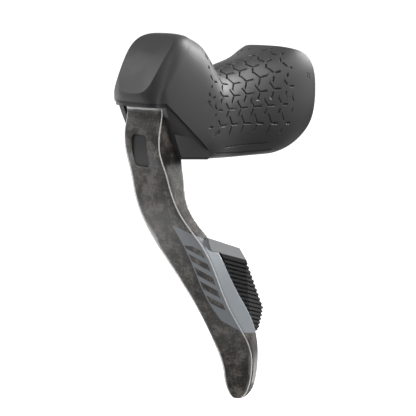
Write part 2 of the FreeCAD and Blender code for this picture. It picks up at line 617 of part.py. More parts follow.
def make_tank():
    half_length, half_width = S.tank_length / 2, S.tank_width / 2
    cap_l, cap_w = S.cap_length / 2, S.cap_width / 2
    cap_top = S.tank_top + S.cap_thick
    plate = box("cap_plate", (S.tank_x - cap_l, -cap_w, S.tank_top), (S.tank_x + cap_l, cap_w, cap_top))
    holes = cap_screw_bars("cap_clear", S.cap_screw_radius, S.cap_thick, S.tank_top)
    keep("reservoir_cap", cut("cap_drilled", plate, *holes))
    shanks = cap_screw_bars("cap_shank", S.cap_screw_radius, S.cap_screw_length + S.cap_thick,
                            S.tank_top - S.cap_screw_length)
    heads = cap_screw_bars("cap_head", S.cap_screw_head_radius, S.cap_screw_head_height, cap_top)
    keys = cap_screw_bars("cap_key", S.cap_screw_radius * 0.6, S.cap_screw_head_height * 0.6,
                          cap_top + S.cap_screw_head_height * 0.4)
    keep("cap_screws", cut("cap_screws_cut", fuse("cap_screws_whole", *shanks, *heads), *keys))
    gap, wall = S.bladder_gap, S.bladder_wall
    low = (S.tank_x - half_length + gap, -half_width + gap, S.tank_top - S.bladder_depth)
    high = (S.tank_x + half_length - gap, half_width - gap, S.tank_top)
    hollow_low = tuple(value + wall for value in low)
    hollow_high = (high[0] - wall, high[1] - wall, high[2])
    keep("reservoir_bladder", cut("bladder_hollow", box("bladder_block", low, high),
                                  box("bladder_void", hollow_low, hollow_high)))
    axis_z = crank_point()[1]
    whole = S.bleed_length + S.bleed_head_height
    outline = [(0, 0), (S.bleed_radius, 0), (S.bleed_radius, S.bleed_length),
               (S.bleed_head_radius, S.bleed_length), (S.bleed_head_radius, whole), (0, whole)]
    blank = turned("bleed_blank", outline, (S.bleed_x, 0, axis_z), "Y")
    blank.Placement = FreeCAD.Placement(Vector(), FreeCAD.Rotation(Vector(0, 0, 1), Vector(0, -1, 0)))
    bind(blank, "Placement.Base.y", S.bleed_length - S.bleed_seat)
    key_start = (S.bleed_x, -S.bleed_seat - S.bleed_head_height, axis_z)
    key = hexagon("bleed_key", S.bleed_key_radius, S.bleed_head_height * 0.6, key_start, "Y")
    keep("bleed_screw", cut("bleed_cut", blank, key))


def on_cell_axis(y):
    """A point on the battery stack's own axis."""
    return (S.cell_x, y, S.cell_z)


def cell_stack():
    """Y positions of the stack's faces, from the board's seat towards the inboard hatch."""
    board = S.cell_y - S.board_thick
    contact = board - S.contact_rise
    cell = contact - S.cell_thick
    hatch_seat = cell - S.cell_gap
    return board, contact, cell, hatch_seat


def electronics_pockets():
    hatch_seat = cell_stack()[3]
    pocket = cylinder("cell_pocket", S.cell_radius + S.cell_gap, S.cell_y - hatch_seat,
                      on_cell_axis(hatch_seat), "Y")
    mouth = cylinder("hatch_room", S.hatch_radius + S.hatch_room, FAR, on_cell_axis(hatch_seat - FAR), "Y")
    button = cylinder("button_room", S.button_radius + S.button_room, FAR,
                      (S.button_x, -S.button_floor - FAR, S.button_z), "Y")
    return [pocket, mouth, button]


def make_electronics():
    board, contact, cell, hatch_seat = cell_stack()
    keep("circuit_board", cylinder("board_disc", S.cell_radius, S.board_thick, on_cell_axis(board), "Y"))
    keep("coin_cell", cylinder("cell_disc", S.cell_radius, S.cell_thick, on_cell_axis(cell), "Y"))
    half_l, half_w, thin = S.contact_length / 2, S.contact_width / 2, S.contact_thick
    left, right = S.cell_x - half_l, S.cell_x + half_l
    low, high = S.cell_z - half_w, S.cell_z + half_w
    foot = box("contact_foot", (left, board - thin, low), (right, board, high))
    leaf = box("contact_leaf", (left, contact, low), (right, contact + thin, high))
    bend = box("contact_bend", (left, contact, low), (left + thin, board, high))
    keep("cell_contact", fuse("contact_folded", foot, leaf, bend))
    outer = hatch_seat - S.hatch_thick
    disc = cylinder("hatch_disc", S.hatch_radius, S.hatch_thick, on_cell_axis(outer), "Y")
    slot = box("hatch_slot", (S.cell_x - S.cell_radius, outer, S.cell_z - S.coin_slot / 2),
               (S.cell_x + S.cell_radius, outer + S.coin_slot_depth, S.cell_z + S.coin_slot / 2))
    groove = ring("hatch_groove", S.seal_ring_radius - S.seal_ring_wire, S.hatch_radius + S.hatch_room,
                  S.seal_ring_wire * 2, on_cell_axis(hatch_seat - S.seal_ring_wire * 3), "Y")
    keep("battery_hatch", cut("hatch_cut", disc, slot, groove))
    seal = DOC.addObject("Part::Torus", "hatch_seal_ring")
    bind(seal, "Radius1", S.seal_ring_radius)
    bind(seal, "Radius2", S.seal_ring_wire)
    place(seal, on_cell_axis(hatch_seat - S.seal_ring_wire * 2), "Y")
    keep("hatch_seal", seal)
    keep("pairing_switch", cylinder("switch_disc", S.button_switch_radius, S.button_switch_thick,
                                    (S.button_x, -S.button_floor - S.button_switch_thick, S.button_z), "Y"))
    keep("pairing_button", cylinder("button_cap", S.button_radius, S.button_thick,
                                    (S.button_x, -S.button_face, S.button_z), "Y"))


def make_cylinder_parts():
    crank_x, axis_z = crank_point()
    length = S.piston_front - S.piston_rear
    shoulder = S.piston_shoulder - S.piston_rear
    skirt = S.bore_radius - S.running_fit
    grooved = skirt - S.seal_groove
    outline = [(0, 0), (skirt, 0)]
    for start in (S.seal_first, S.seal_second):
        end = start + S.seal_width + S.seal_gap * 2
        outline += [(skirt, start), (grooved, start), (grooved, end), (skirt, end)]
    outline += [(skirt, shoulder), (S.nose_radius, shoulder), (S.nose_radius, length), (S.cup_radius, length),
                (S.cup_radius, length - S.cup_depth), (0, length - S.cup_depth)]
    keep("piston", turned("piston_turned", outline, (S.piston_rear, 0, axis_z), "X"))
    rings = []
    for index, start in enumerate((S.seal_first, S.seal_second)):
        seat = (S.piston_rear + start + S.seal_gap, 0, axis_z)
        rings.append(ring(f"seal_{index}", grooved, skirt, S.seal_width, seat, "X"))
    keep("piston_seals", fuse("seal_pair", *rings))
    clip_at = S.piston_shoulder + S.clip_gap
    hoop = ring("clip_hoop", S.clip_inner, S.clip_outer, S.clip_thick, (clip_at, 0, axis_z), "X")
    mouth = box("clip_mouth", (clip_at, -S.clip_inner / 2, axis_z),
                (clip_at + S.clip_thick, S.clip_inner / 2, axis_z + S.clip_outer))
    keep("piston_clip", cut("clip_open", hoop, mouth))
    coil_start = S.bore_rear + S.piston_wire + S.coil_gap
    keep("piston_spring", spring("piston_coil_wire", S.piston_coil, S.piston_wire, S.piston_pitch,
                                 S.piston_turns, (coil_start, 0, axis_z), "X"))

    barrel_half = reach_half() - S.reach_end_gap
    cross = cylinder("reach_bar", S.reach_barrel_radius, barrel_half * 2, (crank_x, -barrel_half, axis_z), "Y")
    thread = cylinder("reach_thread", S.rod_radius, S.reach_barrel_radius * 4,
                      (crank_x - S.reach_barrel_radius * 2, 0, axis_z), "X")
    keep("reach_barrel", cut("reach_drilled", cross, thread))
    ball_x = S.piston_front - S.cup_depth + S.ball_gap + S.ball_radius
    tip = crank_x + S.rod_nose
    stem = cylinder("rod_stem", S.rod_radius, tip - ball_x, (ball_x, 0, axis_z), "X")
    ball = sphere("rod_ball", S.ball_radius, (ball_x, 0, axis_z))
    key = hexagon("rod_key", S.rod_key_radius, S.rod_key_depth, (tip - S.rod_key_depth, 0, axis_z), "X")
    keep("pushrod", cut("rod_keyed", fuse("rod_whole", stem, ball), key))

    keep("pivot_pin", cylinder("pivot_bar", S.pivot_radius, S.pivot_half * 2,
                               (S.pivot_x, -S.pivot_half, S.pivot_z), "Y"))
    screw_start = (S.pivot_x, -S.pivot_half - S.pivot_screw_length, S.pivot_z)
    plug = cylinder("pivot_plug", S.pivot_radius, S.pivot_screw_length, screw_start, "Y")
    socket = hexagon("pivot_socket", S.pivot_radius * 0.5, S.pivot_screw_length * 0.7, screw_start, "Y")
    keep("pivot_screw", cut("pivot_screw_cut", plug, socket))
    coil_half = S.return_pitch * S.return_turns / 2
    keep("return_spring", spring("return_coil_wire", S.return_coil, S.spring_wire, S.return_pitch,
                                 S.return_turns, (S.pivot_x, -coil_half, S.pivot_z), "Y"))


# Blade path as shares of its drop, sweep and flare, then width, depth and outward yaw in degrees
BLADE_PATH = (
    (0.000, 0.000, 0.000, 1.000, 1.00, 0),
    (0.072, -0.010, 0.000, 1.000, 0.97, 0),
    (0.142, -0.020, 0.000, 0.995, 0.86, 0),
    (0.208, 0.045, 0.008, 1.050, 0.66, 0),
    (0.317, 0.090, 0.146, 1.120, 0.48, 1),
    (0.418, 0.225, 0.322, 1.196, 0.34, 2),
    (0.493, 0.350, 0.519, 1.182, 0.38, 4),
    (0.594, 0.460, 0.775, 0.990, 0.48, 8),
    (0.707, 0.660, 0.903, 0.860, 0.58, 12),
    (0.805, 0.905, 0.914, 0.880, 0.51, 15),
    (0.883, 1.000, 0.955, 0.760, 0.38, 17),
    (0.940, 0.990, 0.978, 0.640, 0.33, 17),
    (0.975, 0.982, 0.985, 0.490, 0.28, 17),
    (0.993, 0.976, 0.985, 0.310, 0.20, 17),
    (1.000, 0.973, 0.985, 0.140, 0.12, 17),
)
# Stations of the path that the hollow in the blade's back takes in; the tip below them is solid
CHANNEL_END = 9
# Stations that reach past the window in the blade's head
HEAD_END = 6


def blade_frames():
    """Front-centre points of the blade with its directions: down, outboard and backward."""
    drop, sweep, flare = float(S.blade_drop), float(S.blade_sweep), float(S.blade_flare)
    centres = [Vector(float(S.blade_front) - back * sweep, out * flare, float(S.blade_top) - down * drop)
               for down, back, out, *_ in BLADE_PATH]
    frames = []
    for index, (_, _, _, width, depth, yaw) in enumerate(BLADE_PATH):
        before = centres[max(index - 1, 0)]
        after = centres[min(index + 1, len(centres) - 1)]
        down = (after - before).normalize()
        if index == 0:
            down = Vector(0, 0, -1)
        turn = math.radians(yaw)
        outboard = Vector(-math.sin(turn), math.cos(turn), 0)
        outboard = (outboard - down * outboard.dot(down)).normalize()
        backward = outboard.cross(down).normalize()
        frames.append((centres[index], outboard, backward, width * float(S.blade_width),
                       depth * float(S.blade_depth)))
    return frames


def blade_section(frame, inset=0.0, deeper=0.0):
    """A rounded box: a crisp outboard front crease and a soft inboard front corner."""
    centre, outboard, backward, width, depth = frame
    half = width / 2 - inset
    back = depth + deeper
    crisp = max(float(S.crease_radius) - inset, 0.3)
    head_share = max(0.0, min(1.0, depth / float(S.blade_depth) * 3 - 2))
    inner = min(blend(S.inner_radius, S.head_radius, head_share), depth * 0.45, width * 0.3)
    soft = max(inner - inset, 0.4)
    rear = min(1.0, depth * 0.2)
    draft = 0.02 * depth

    def at(across, behind):
        return centre + outboard * across + backward * behind

    def corner(first, middle, last):
        return Part.Arc(first, middle, last).toShape()

    bend = 1 - math.sqrt(0.5)
    front_right = (at(half - crisp, inset), at(half - crisp * bend, inset + crisp * bend),
                   at(half, inset + crisp))
    front_left = (at(-half, inset + soft), at(-half + soft * bend, inset + soft * bend),
                  at(-half + soft, inset))
    rear_right = (at(half - draft, back - rear), at(half - draft - rear * bend, back - rear * bend),
                  at(half - draft - rear, back))
    rear_left = (at(-half + draft + rear, back), at(-half + draft + rear * bend, back - rear * bend),
                 at(-half + draft, back - rear))
    edges = [corner(*front_right), Part.makeLine(front_right[2], rear_right[0]), corner(*rear_right),
             Part.makeLine(rear_right[2], rear_left[0]), corner(*rear_left),
             Part.makeLine(rear_left[2], front_left[0]), corner(*front_left),
             Part.makeLine(front_left[2], front_right[0])]
    return Part.Wire(edges)


def blade_loft(inset=0.0, deeper=0.0, last=None):
    frames = blade_frames()[:last]
    return Part.makeLoft([blade_section(frame, inset, deeper) for frame in frames], True, False)


def blade_channel():
    """The hollow in the blade's back, open to the rear."""
    return blade_loft(float(S.blade_wall), float(S.channel_past), CHANNEL_END)


def window_prism(label, gap):
    half_w = S.window_width / 2 - gap
    half_h = S.window_height / 2 - gap
    reach = S.blade_wall * 4
    block = box(label + "_block", (S.blade_front - reach, S.window_y - half_w, S.window_z - half_h),
                (S.blade_front + reach, S.window_y + half_w, S.window_z + half_h))
    rounded = DOC.addObject("Part::Fillet", label)
    rounded.Base = block
    DOC.recompute()
    corners = [index for index, edge in enumerate(block.Shape.Edges, start=1)
               if abs(edge.Vertexes[0].Point.x - edge.Vertexes[-1].Point.x) > 1]
    radius = float(S.window_corner)
    rounded.Edges = [(index, radius, radius) for index in corners]
    return rounded


def make_blade():
    outer = made("blade_skin", blade_loft())
    channel = made("blade_channel", blade_channel())
    window = window_prism("blade_window", 0.0)
    crank_x, axis_z = crank_point()
    bush_outer = S.pivot_radius + S.running_fit + S.bush_wall
    pivot_hole = cylinder("bush_hole", bush_outer, S.blade_width * 2,
                          (S.pivot_x, -S.blade_width, S.pivot_z), "Y")
    reach_hole = cylinder("reach_hole", S.reach_barrel_radius + S.running_fit, reach_half() * 2,
                          (crank_x, -reach_half(), axis_z), "Y")
    ear_block = box("ear_block", (S.pivot_x - S.blade_depth, -S.blade_width, S.pivot_z),
                    (S.pivot_x, S.blade_width, S.pivot_z + S.blade_depth))
    ear_round = cylinder("ear_round", S.ear_radius, S.blade_width * 2,
                         (S.pivot_x, -S.blade_width, S.pivot_z), "Y")
    ear_trim = cut("ear_trim", ear_block, ear_round)
    inner_half = S.blade_width / 2 - S.blade_wall
    head_room = box("channel_mouth", (S.pivot_x - S.blade_depth, -inner_half, S.blade_top - S.crease_radius),
                    (S.blade_front - S.blade_wall, inner_half, S.blade_top + S.crease_radius))
    hollow = cut("blade_hollow", outer, channel)
    DOC.recompute()
    if hollow.Shape.Volume > outer.Shape.Volume - channel.Shape.Volume / 2:
        raise RuntimeError("the hollow in the blade's back was not cut")
    keep("brake_blade", cut("blade_cut", hollow, window, pivot_hole, reach_hole, ear_trim, head_room))

    recessed = made("plug_skin", blade_loft(last=HEAD_END).translated(Vector(-float(S.plug_recess), 0, 0)))
    plug_bar = window_prism("plug_bar", S.plug_gap)
    plug_room = made("plug_back", blade_channel())
    keep("access_plug", cut("plug_cut", common("plug_face", plug_bar, recessed), plug_room))

    bushes = []
    length = S.blade_wall
    for name, start in (("outboard", S.blade_width / 2 - length), ("inboard", -S.blade_width / 2)):
        bushes.append(ring(f"bush_{name}", S.pivot_radius + S.running_fit, bush_outer, length,
                           (S.pivot_x, start, S.pivot_z), "Y"))
    keep("pivot_bushes", fuse("bush_pair", *bushes))


def paddle_plate(label, thick, depth_from=0.0):
    """Two flat facets that meet at an upright ridge, carried along the tilted ridge line."""
    turn = math.radians(float(S.rear_facet_deg))
    tilt = math.radians(float(S.paddle_tilt_deg))
    ridge = Vector(float(S.ridge_x), float(S.ridge_y), float(S.ridge_z))
    along_rear = Vector(-math.cos(turn), -math.sin(turn), 0)
    inward_front = Vector(0, -1, 0)
    inward_rear = Vector(math.sin(turn), -math.cos(turn), 0)
    inward_ridge = Vector(math.tan(turn / 2), -1, 0)

    def layer(depth):
        return [ridge + Vector(FAR, 0, 0) + inward_front * depth, ridge + inward_ridge * depth,
                ridge + along_rear * FAR + inward_rear * depth]

    outline = layer(depth_from) + layer(thick)[::-1]
    down = Vector(0, math.sin(tilt), -math.cos(tilt))
    start = [point - down * FAR for point in outline]
    face = Part.Face(Part.makePolygon(start + start[:1]))
    return made(label, face.extrude(down * (2 * FAR)))


def blade_side_line():
    """Side-view points half way back on the blade's outboard flank, beside the paddle."""
    points = []
    for centre, outboard, backward, width, depth in blade_frames():
        point = centre + outboard * (width / 2) + backward * (depth / 2)
        if float(S.paddle_low_z) < point.z < float(S.shoulder_front_z):
            points.append((point.x, point.z))
    return points


def paddle_outline():
    """Side view of the whole paddle; the blade's rear edge trims its front afterwards."""
    flank = blade_side_line()
    corner = S.tip_corner
    return [(flank[0][0], S.shoulder_front_z), (S.shoulder_rear_x, S.shoulder_rear_z),
            (S.ridge_x, S.shoulder_low_z), (S.paddle_tip_x, S.paddle_tip_z),
            (S.paddle_tip_x + corner / 2, S.paddle_tip_z - corner),
            (S.paddle_low_x - corner, S.paddle_low_z + corner / 6),
            (S.paddle_low_x, S.paddle_low_z), (S.paddle_low_x + corner, S.paddle_low_z)] + flank[::-1]


def grip_outline():
    """Side view of the ribbed grip, below the shoulder's slanted lower edge."""
    slope = (S.grip_top_front_z - S.shoulder_low_z) / (S.grip_top_front_x - S.ridge_x)
    front, rear = S.pivot_x, S.paddle_tip_x - S.tip_corner
    low = S.paddle_low_z - S.tip_corner
    return [(front, S.shoulder_low_z + slope * (front - S.ridge_x)),
            (rear, S.shoulder_low_z + slope * (rear - S.ridge_x)), (rear, low), (front, low)]


def rib_grooves():
    """Slanted grooves, parallel to the grip's top edge, one rib pitch apart."""
    slope = float(S.grip_top_front_z - S.shoulder_low_z) / float(S.grip_top_front_x - S.ridge_x)
    pitch, groove = float(S.rib_pitch), float(S.rib_groove)
    front, rear = float(S.pivot_x), float(S.paddle_tip_x - S.tip_corner)
    solids = []
    low = float(S.shoulder_low_z) - pitch
    while low - groove > float(S.paddle_low_z) + pitch:
        upper = [Vector(x, -FAR, low + slope * (x - float(S.ridge_x))) for x in (front, rear)]
        lower = [point - Vector(0, 0, groove) for point in upper[::-1]]
        face = Part.Face(Part.makePolygon(upper + lower + upper[:1]))
        solids.append(face.extrude(Vector(0, 2 * FAR, 0)))
        low -= pitch
    return made("rib_grooves", Part.makeCompound(solids))


def make_paddle():
    axis_y, axis_z = S.paddle_axis_y, S.paddle_axis_z
    zone = side_prism("paddle_zone", paddle_outline())
    plate = common("paddle_body", paddle_plate("paddle_facets", float(S.plate_thick)), zone)
    clear = made("paddle_blade_room", blade_loft(deeper=float(S.paddle_gap)))
    hub_start = S.lug_rear + S.lug_thick + S.hub_gap
    hub = cylinder("paddle_hub", S.paddle_hub_radius, S.hub_length, (hub_start, axis_y, axis_z), "X")
    neck_low, neck_high = axis_z - S.paddle_hub_radius * 0.8, axis_z + S.paddle_hub_radius * 0.5
    finger_y = tact_face() + S.tact_thick + S.tact_stem + S.press_gap
    arm = box("paddle_arm", (hub_start, finger_y, S.shelf_low),
              (hub_start + S.hub_length, S.arm_outer, neck_high))
    neck = box("paddle_neck", (hub_start, axis_y, neck_low),
               (hub_start + S.hub_length, S.arm_outer, neck_high))
    pin_hole = cylinder("paddle_pin_hole", S.paddle_pin_radius + S.running_fit, S.hub_length * 2,
                        (hub_start - S.hub_length / 2, axis_y, axis_z), "X")
    whole = fuse("paddle_whole", plate, arm, neck, hub)
    grip_zone = side_prism("grip_zone", grip_outline())
    proud = -float(S.plate_thick)
    room_depth = float(S.grip_thick + S.grip_seam)
    grip_room = common("grip_room", paddle_plate("grip_room_facets", room_depth, proud), grip_zone)
    keep("shift_paddle", cut("paddle_cut", whole, clear, pin_hole, grip_room))

    pad_zone = common("pad_zone", zone, grip_zone)
    pad = common("pad_block", paddle_plate("pad_facets", float(S.grip_thick)), pad_zone)
    ribs = common("rib_cuts", paddle_plate("rib_facets", float(S.rib_depth), proud), rib_grooves())
    keep("paddle_grip", largest("pad_trimmed", cut("pad_ribbed", pad, clear, ribs)))

    keep("paddle_pin", cylinder("paddle_pin_bar", S.paddle_pin_radius, S.lug_front - S.lug_rear,
                                (S.lug_rear, axis_y, axis_z), "X"))
    coil_start = hub_start + S.hub_length + S.paddle_wire + S.coil_gap
    keep("paddle_spring", spring("paddle_coil_wire", S.paddle_coil, S.paddle_wire, S.paddle_pitch,
                                 S.paddle_turns, (coil_start, axis_y, axis_z), "X"))


def tact_face():
    """Outboard face of the switch shelf, which lies level with the hinge pin."""
    return S.paddle_axis_y + S.shelf_thick / 2


def make_bracket():
    axis_y, axis_z = S.paddle_axis_y, S.paddle_axis_z
    low_y, high_y = axis_y - S.lug_half, axis_y + S.lug_half
    roof = axis_z + S.bridge_rise
    under = roof - S.bridge_thick
    lug_low = axis_z - S.lug_drop
    shelf_low_y = tact_face() - S.shelf_thick
    bridge = box("bracket_bridge", (S.lug_rear, low_y, under), (S.bracket_front, high_y, roof))
    rear_lug = box("bracket_rear_lug", (S.lug_rear, low_y, lug_low), (S.lug_rear + S.lug_thick, high_y, roof))
    front_lug = box("bracket_front_lug", (S.lug_front - S.lug_thick, low_y, lug_low),
                    (S.bracket_front, high_y, roof))
    plate = box("bracket_plate", (S.bracket_plate_rear, shelf_low_y, S.bracket_plate_low),
                (S.bracket_plate_front, high_y, lug_low))
    shelf = box("bracket_shelf", (S.shelf_x, shelf_low_y, S.shelf_low),
                (S.shelf_x + S.shelf_length, tact_face(), S.shelf_high))
    hole = cylinder("bracket_pin_hole", S.paddle_pin_radius, S.lug_front - S.lug_rear,
                    (S.lug_rear, axis_y, axis_z), "X")
    blade_walls = made("bracket_blade", blade_loft().cut(blade_channel()))
    whole = fuse("bracket_whole", bridge, rear_lug, front_lug, plate, shelf)
    trimmed = cut("bracket_cut", whole, hole, blade_walls)
    keep("paddle_bracket", largest("bracket_trimmed", trimmed))

    middle_z = (S.shelf_low + S.shelf_high) / 2
    half = S.tact_side / 2
    low_x = S.shelf_x + S.tact_margin
    case = box("tact_case", (low_x, tact_face(), middle_z - half),
               (low_x + S.tact_side, tact_face() + S.tact_thick, middle_z + half))
    stem = cylinder("tact_stem", S.tact_stem_radius, S.tact_stem,
                    (low_x + half, tact_face() + S.tact_thick, middle_z), "Y")
    keep("shift_switch", fuse("tact_whole", case, stem))


def check_and_write():
    DOC.recompute()
    failed = [item.Label for item in DOC.Objects if "Invalid" in item.State or "Error" in item.State]
    if failed:
        raise RuntimeError(f"failed objects: {failed}")
    os.makedirs("parts", exist_ok=True)
    for piece in PIECES:
        if piece.Shape.isNull() or not piece.Shape.isValid():
            raise RuntimeError(f"{piece.Label} has no valid shape")
        piece.Shape.exportStep(f"parts/{piece.Label}.step")
        print(f"{piece.Label}: {len(piece.Shape.Solids)} solid(s), {piece.Shape.Volume:.1f} mm3")


fill_sheet()
make_hood()
make_body()
make_clamp()
make_tank()
make_electronics()
make_cylinder_parts()
make_blade()
make_bracket()
make_paddle()
check_and_write()
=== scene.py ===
"""Looks of a left-hand electronic brake and shift lever for a drop handlebar.

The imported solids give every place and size. This script dresses them: a rubber hood with moulded grip marks, a
chopped-fibre blade under lacquer, a painted paddle with a ribbed rubber grip, and the plain metal and plastic
inside.
"""
from __future__ import annotations

import json
import logging
import math
from dataclasses import dataclass
from enum import Enum
from typing import Mapping, Sequence

import bmesh
import bpy
import numpy as np
from mathutils import Matrix, Vector

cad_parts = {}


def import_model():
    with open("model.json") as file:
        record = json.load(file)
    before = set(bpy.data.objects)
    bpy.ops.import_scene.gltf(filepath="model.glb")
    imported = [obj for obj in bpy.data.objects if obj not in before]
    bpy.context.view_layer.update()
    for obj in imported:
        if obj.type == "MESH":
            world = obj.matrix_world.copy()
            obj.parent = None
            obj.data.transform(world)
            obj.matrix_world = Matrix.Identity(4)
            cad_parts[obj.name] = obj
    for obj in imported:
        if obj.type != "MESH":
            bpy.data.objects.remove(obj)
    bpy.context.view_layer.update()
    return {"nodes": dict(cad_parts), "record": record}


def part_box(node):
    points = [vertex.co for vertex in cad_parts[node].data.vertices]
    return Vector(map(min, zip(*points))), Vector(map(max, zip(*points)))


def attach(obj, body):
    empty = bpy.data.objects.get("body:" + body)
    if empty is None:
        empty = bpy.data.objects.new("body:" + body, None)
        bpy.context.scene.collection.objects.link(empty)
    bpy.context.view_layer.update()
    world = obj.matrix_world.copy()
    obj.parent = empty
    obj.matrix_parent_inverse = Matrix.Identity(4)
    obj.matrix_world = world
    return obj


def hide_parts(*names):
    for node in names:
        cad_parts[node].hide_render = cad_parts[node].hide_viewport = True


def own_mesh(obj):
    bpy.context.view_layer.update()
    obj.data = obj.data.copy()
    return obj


LOG = logging.getLogger("lever")
MM_PER_M = 1000.0
# Attribute that marks where a highlight is painted along the blade's crease.
PAINTED_HIGHLIGHT_ATTR = "edge_line"
Colour = tuple[float, float, float]
Vector3 = tuple[float, float, float]
Span = tuple[float, float]
Plane = tuple[float, float, float, float]


class Wire:
    """An output socket with arithmetic: each operation on it adds one Math node."""

    def __init__(self, bench: Bench, socket: bpy.types.NodeSocket) -> None:
        """Hold the socket and the bench that it belongs to."""
        self.bench = bench
        self.socket = socket

    def __add__(self, other: Wire | float) -> Wire:
        """Sum of two values."""
        return self.bench.math("ADD", self, other)

    def __radd__(self, other: float) -> Wire:
        """Sum with a number on the left."""
        return self.bench.math("ADD", other, self)

    def __sub__(self, other: Wire | float) -> Wire:
        """Difference of two values."""
        return self.bench.math("SUBTRACT", self, other)

    def __rsub__(self, other: float) -> Wire:
        """Difference from a number on the left."""
        return self.bench.math("SUBTRACT", other, self)

    def __mul__(self, other: Wire | float) -> Wire:
        """Product of two values."""
        return self.bench.math("MULTIPLY", self, other)

    def __rmul__(self, other: float) -> Wire:
        """Product with a number on the left."""
        return self.bench.math("MULTIPLY", other, self)

    def __abs__(self) -> Wire:
        """The value without its sign."""
        return self.bench.math("ABSOLUTE", self)

    def least(self, other: Wire | float) -> Wire:
        """The smaller of two values."""
        return self.bench.math("MINIMUM", self, other)

    def most(self, other: Wire | float) -> Wire:
        """The larger of two values."""
        return self.bench.math("MAXIMUM", self, other)

    def nearest_whole(self) -> Wire:
        """The value rounded to a whole number."""
        return self.bench.math("ROUND", self)

    def fraction(self) -> Wire:
        """The value's part after the point."""
        return self.bench.math("FRACT", self)

    def root(self) -> Wire:
        """The value's square root."""
        return self.bench.math("SQRT", self)

    def turn_from(self, across: Wire) -> Wire:
        """The slope in degrees of a line that rises by this value over another."""
        return self.bench.math("ARCTAN2", self, across) * math.degrees(1)

    def pick(self, values: Sequence[float]) -> Wire:
        """The listed value at this whole number, read from a stepped ramp.

        Args:
            values: The values to choose from, none below 0.

        Returns:
            The chosen value.
        """
        # Each step of the ramp starts a quarter of its width before the place where it is read.
        room, largest = len(values) + 1, max(values)
        stops = [((index + 0.25) / room, (value / largest,) * 3) for index, value in enumerate(values)]
        return self.bench.ramp((self + 0.5) * (1 / room), stops, "CONSTANT") * largest

    def rises(self, low: float, high: float) -> Wire:
        """A smooth step from 0 at the low value to 1 at the high one; a low above the high makes it fall.

        Args:
            low: The value where the step starts.
            high: The value where the step ends.

        Returns:
            The step, from 0 to 1.
        """
        return self.bench.node("ShaderNodeMapRange", {"interpolation_type": "SMOOTHSTEP"},
                               {"Value": self, "From Min": low, "From Max": high, "To Min": 0.0, "To Max": 1.0})

    def inside(self, low: float, high: float, soft: float) -> Wire:
        """1 between two values, with soft edges, and 0 outside them.

        Args:
            low: The lower edge.
            high: The upper edge.
            soft: Half the width of each soft edge.

        Returns:
            The window, from 0 to 1.
        """
        return self.rises(low - soft, low + soft) * self.rises(high + soft, high - soft)


class Samples(np.ndarray):
    """Values at many points with a wire's methods, so that one formula serves a mesh and its material."""

    def least(self, other: Samples | float) -> Samples:
        """The smaller of two values."""
        return np.minimum(self, other)

    def most(self, other: Samples | float) -> Samples:
        """The larger of two values."""
        return np.maximum(self, other)

    def nearest_whole(self) -> Samples:
        """The value rounded to a whole number, halves upwards."""
        return np.floor(self + 0.5)

    def root(self) -> Samples:
        """The value's square root."""
        return np.sqrt(self)

    def turn_from(self, across: Samples) -> Samples:
        """The slope in degrees of a line that rises by this value over another."""
        return np.degrees(np.arctan2(self, across))

    def pick(self, values: Sequence[float]) -> Samples:
        """The listed value at this whole number."""
        index = np.clip(np.asarray(self), 0, len(values) - 1).astype(int)
        return np.asarray(values)[index].view(Samples)

    def rises(self, low: float, high: float) -> Samples:
        """A smooth step from 0 at the low value to 1 at the high one: 3 s squared less 2 s cubed."""
        share = np.clip((self - low) / (high - low), 0.0, 1.0)
        return share * share * (3.0 - 2.0 * share)

    def inside(self, low: float, high: float, soft: float) -> Samples:
        """1 between two values, with soft edges, and 0 outside them."""
        return self.rises(low - soft, low + soft) * self.rises(high + soft, high - soft)


Field = Wire | Samples


@dataclass(frozen=True)
class Cloud:
    """One scale of noise: clouds to a millimetre, how many finer layers it has and how strong they are."""

    per_mm: float
    detail: float = 2.0
    rough: float = 0.55


@dataclass(frozen=True)
class Lay:
    """The lie of a pattern: its units to a millimetre along each axis, and its turn about them in degrees."""

    per_mm: Vector3
    turn_deg: Vector3 = (0.0, 0.0, 0.0)


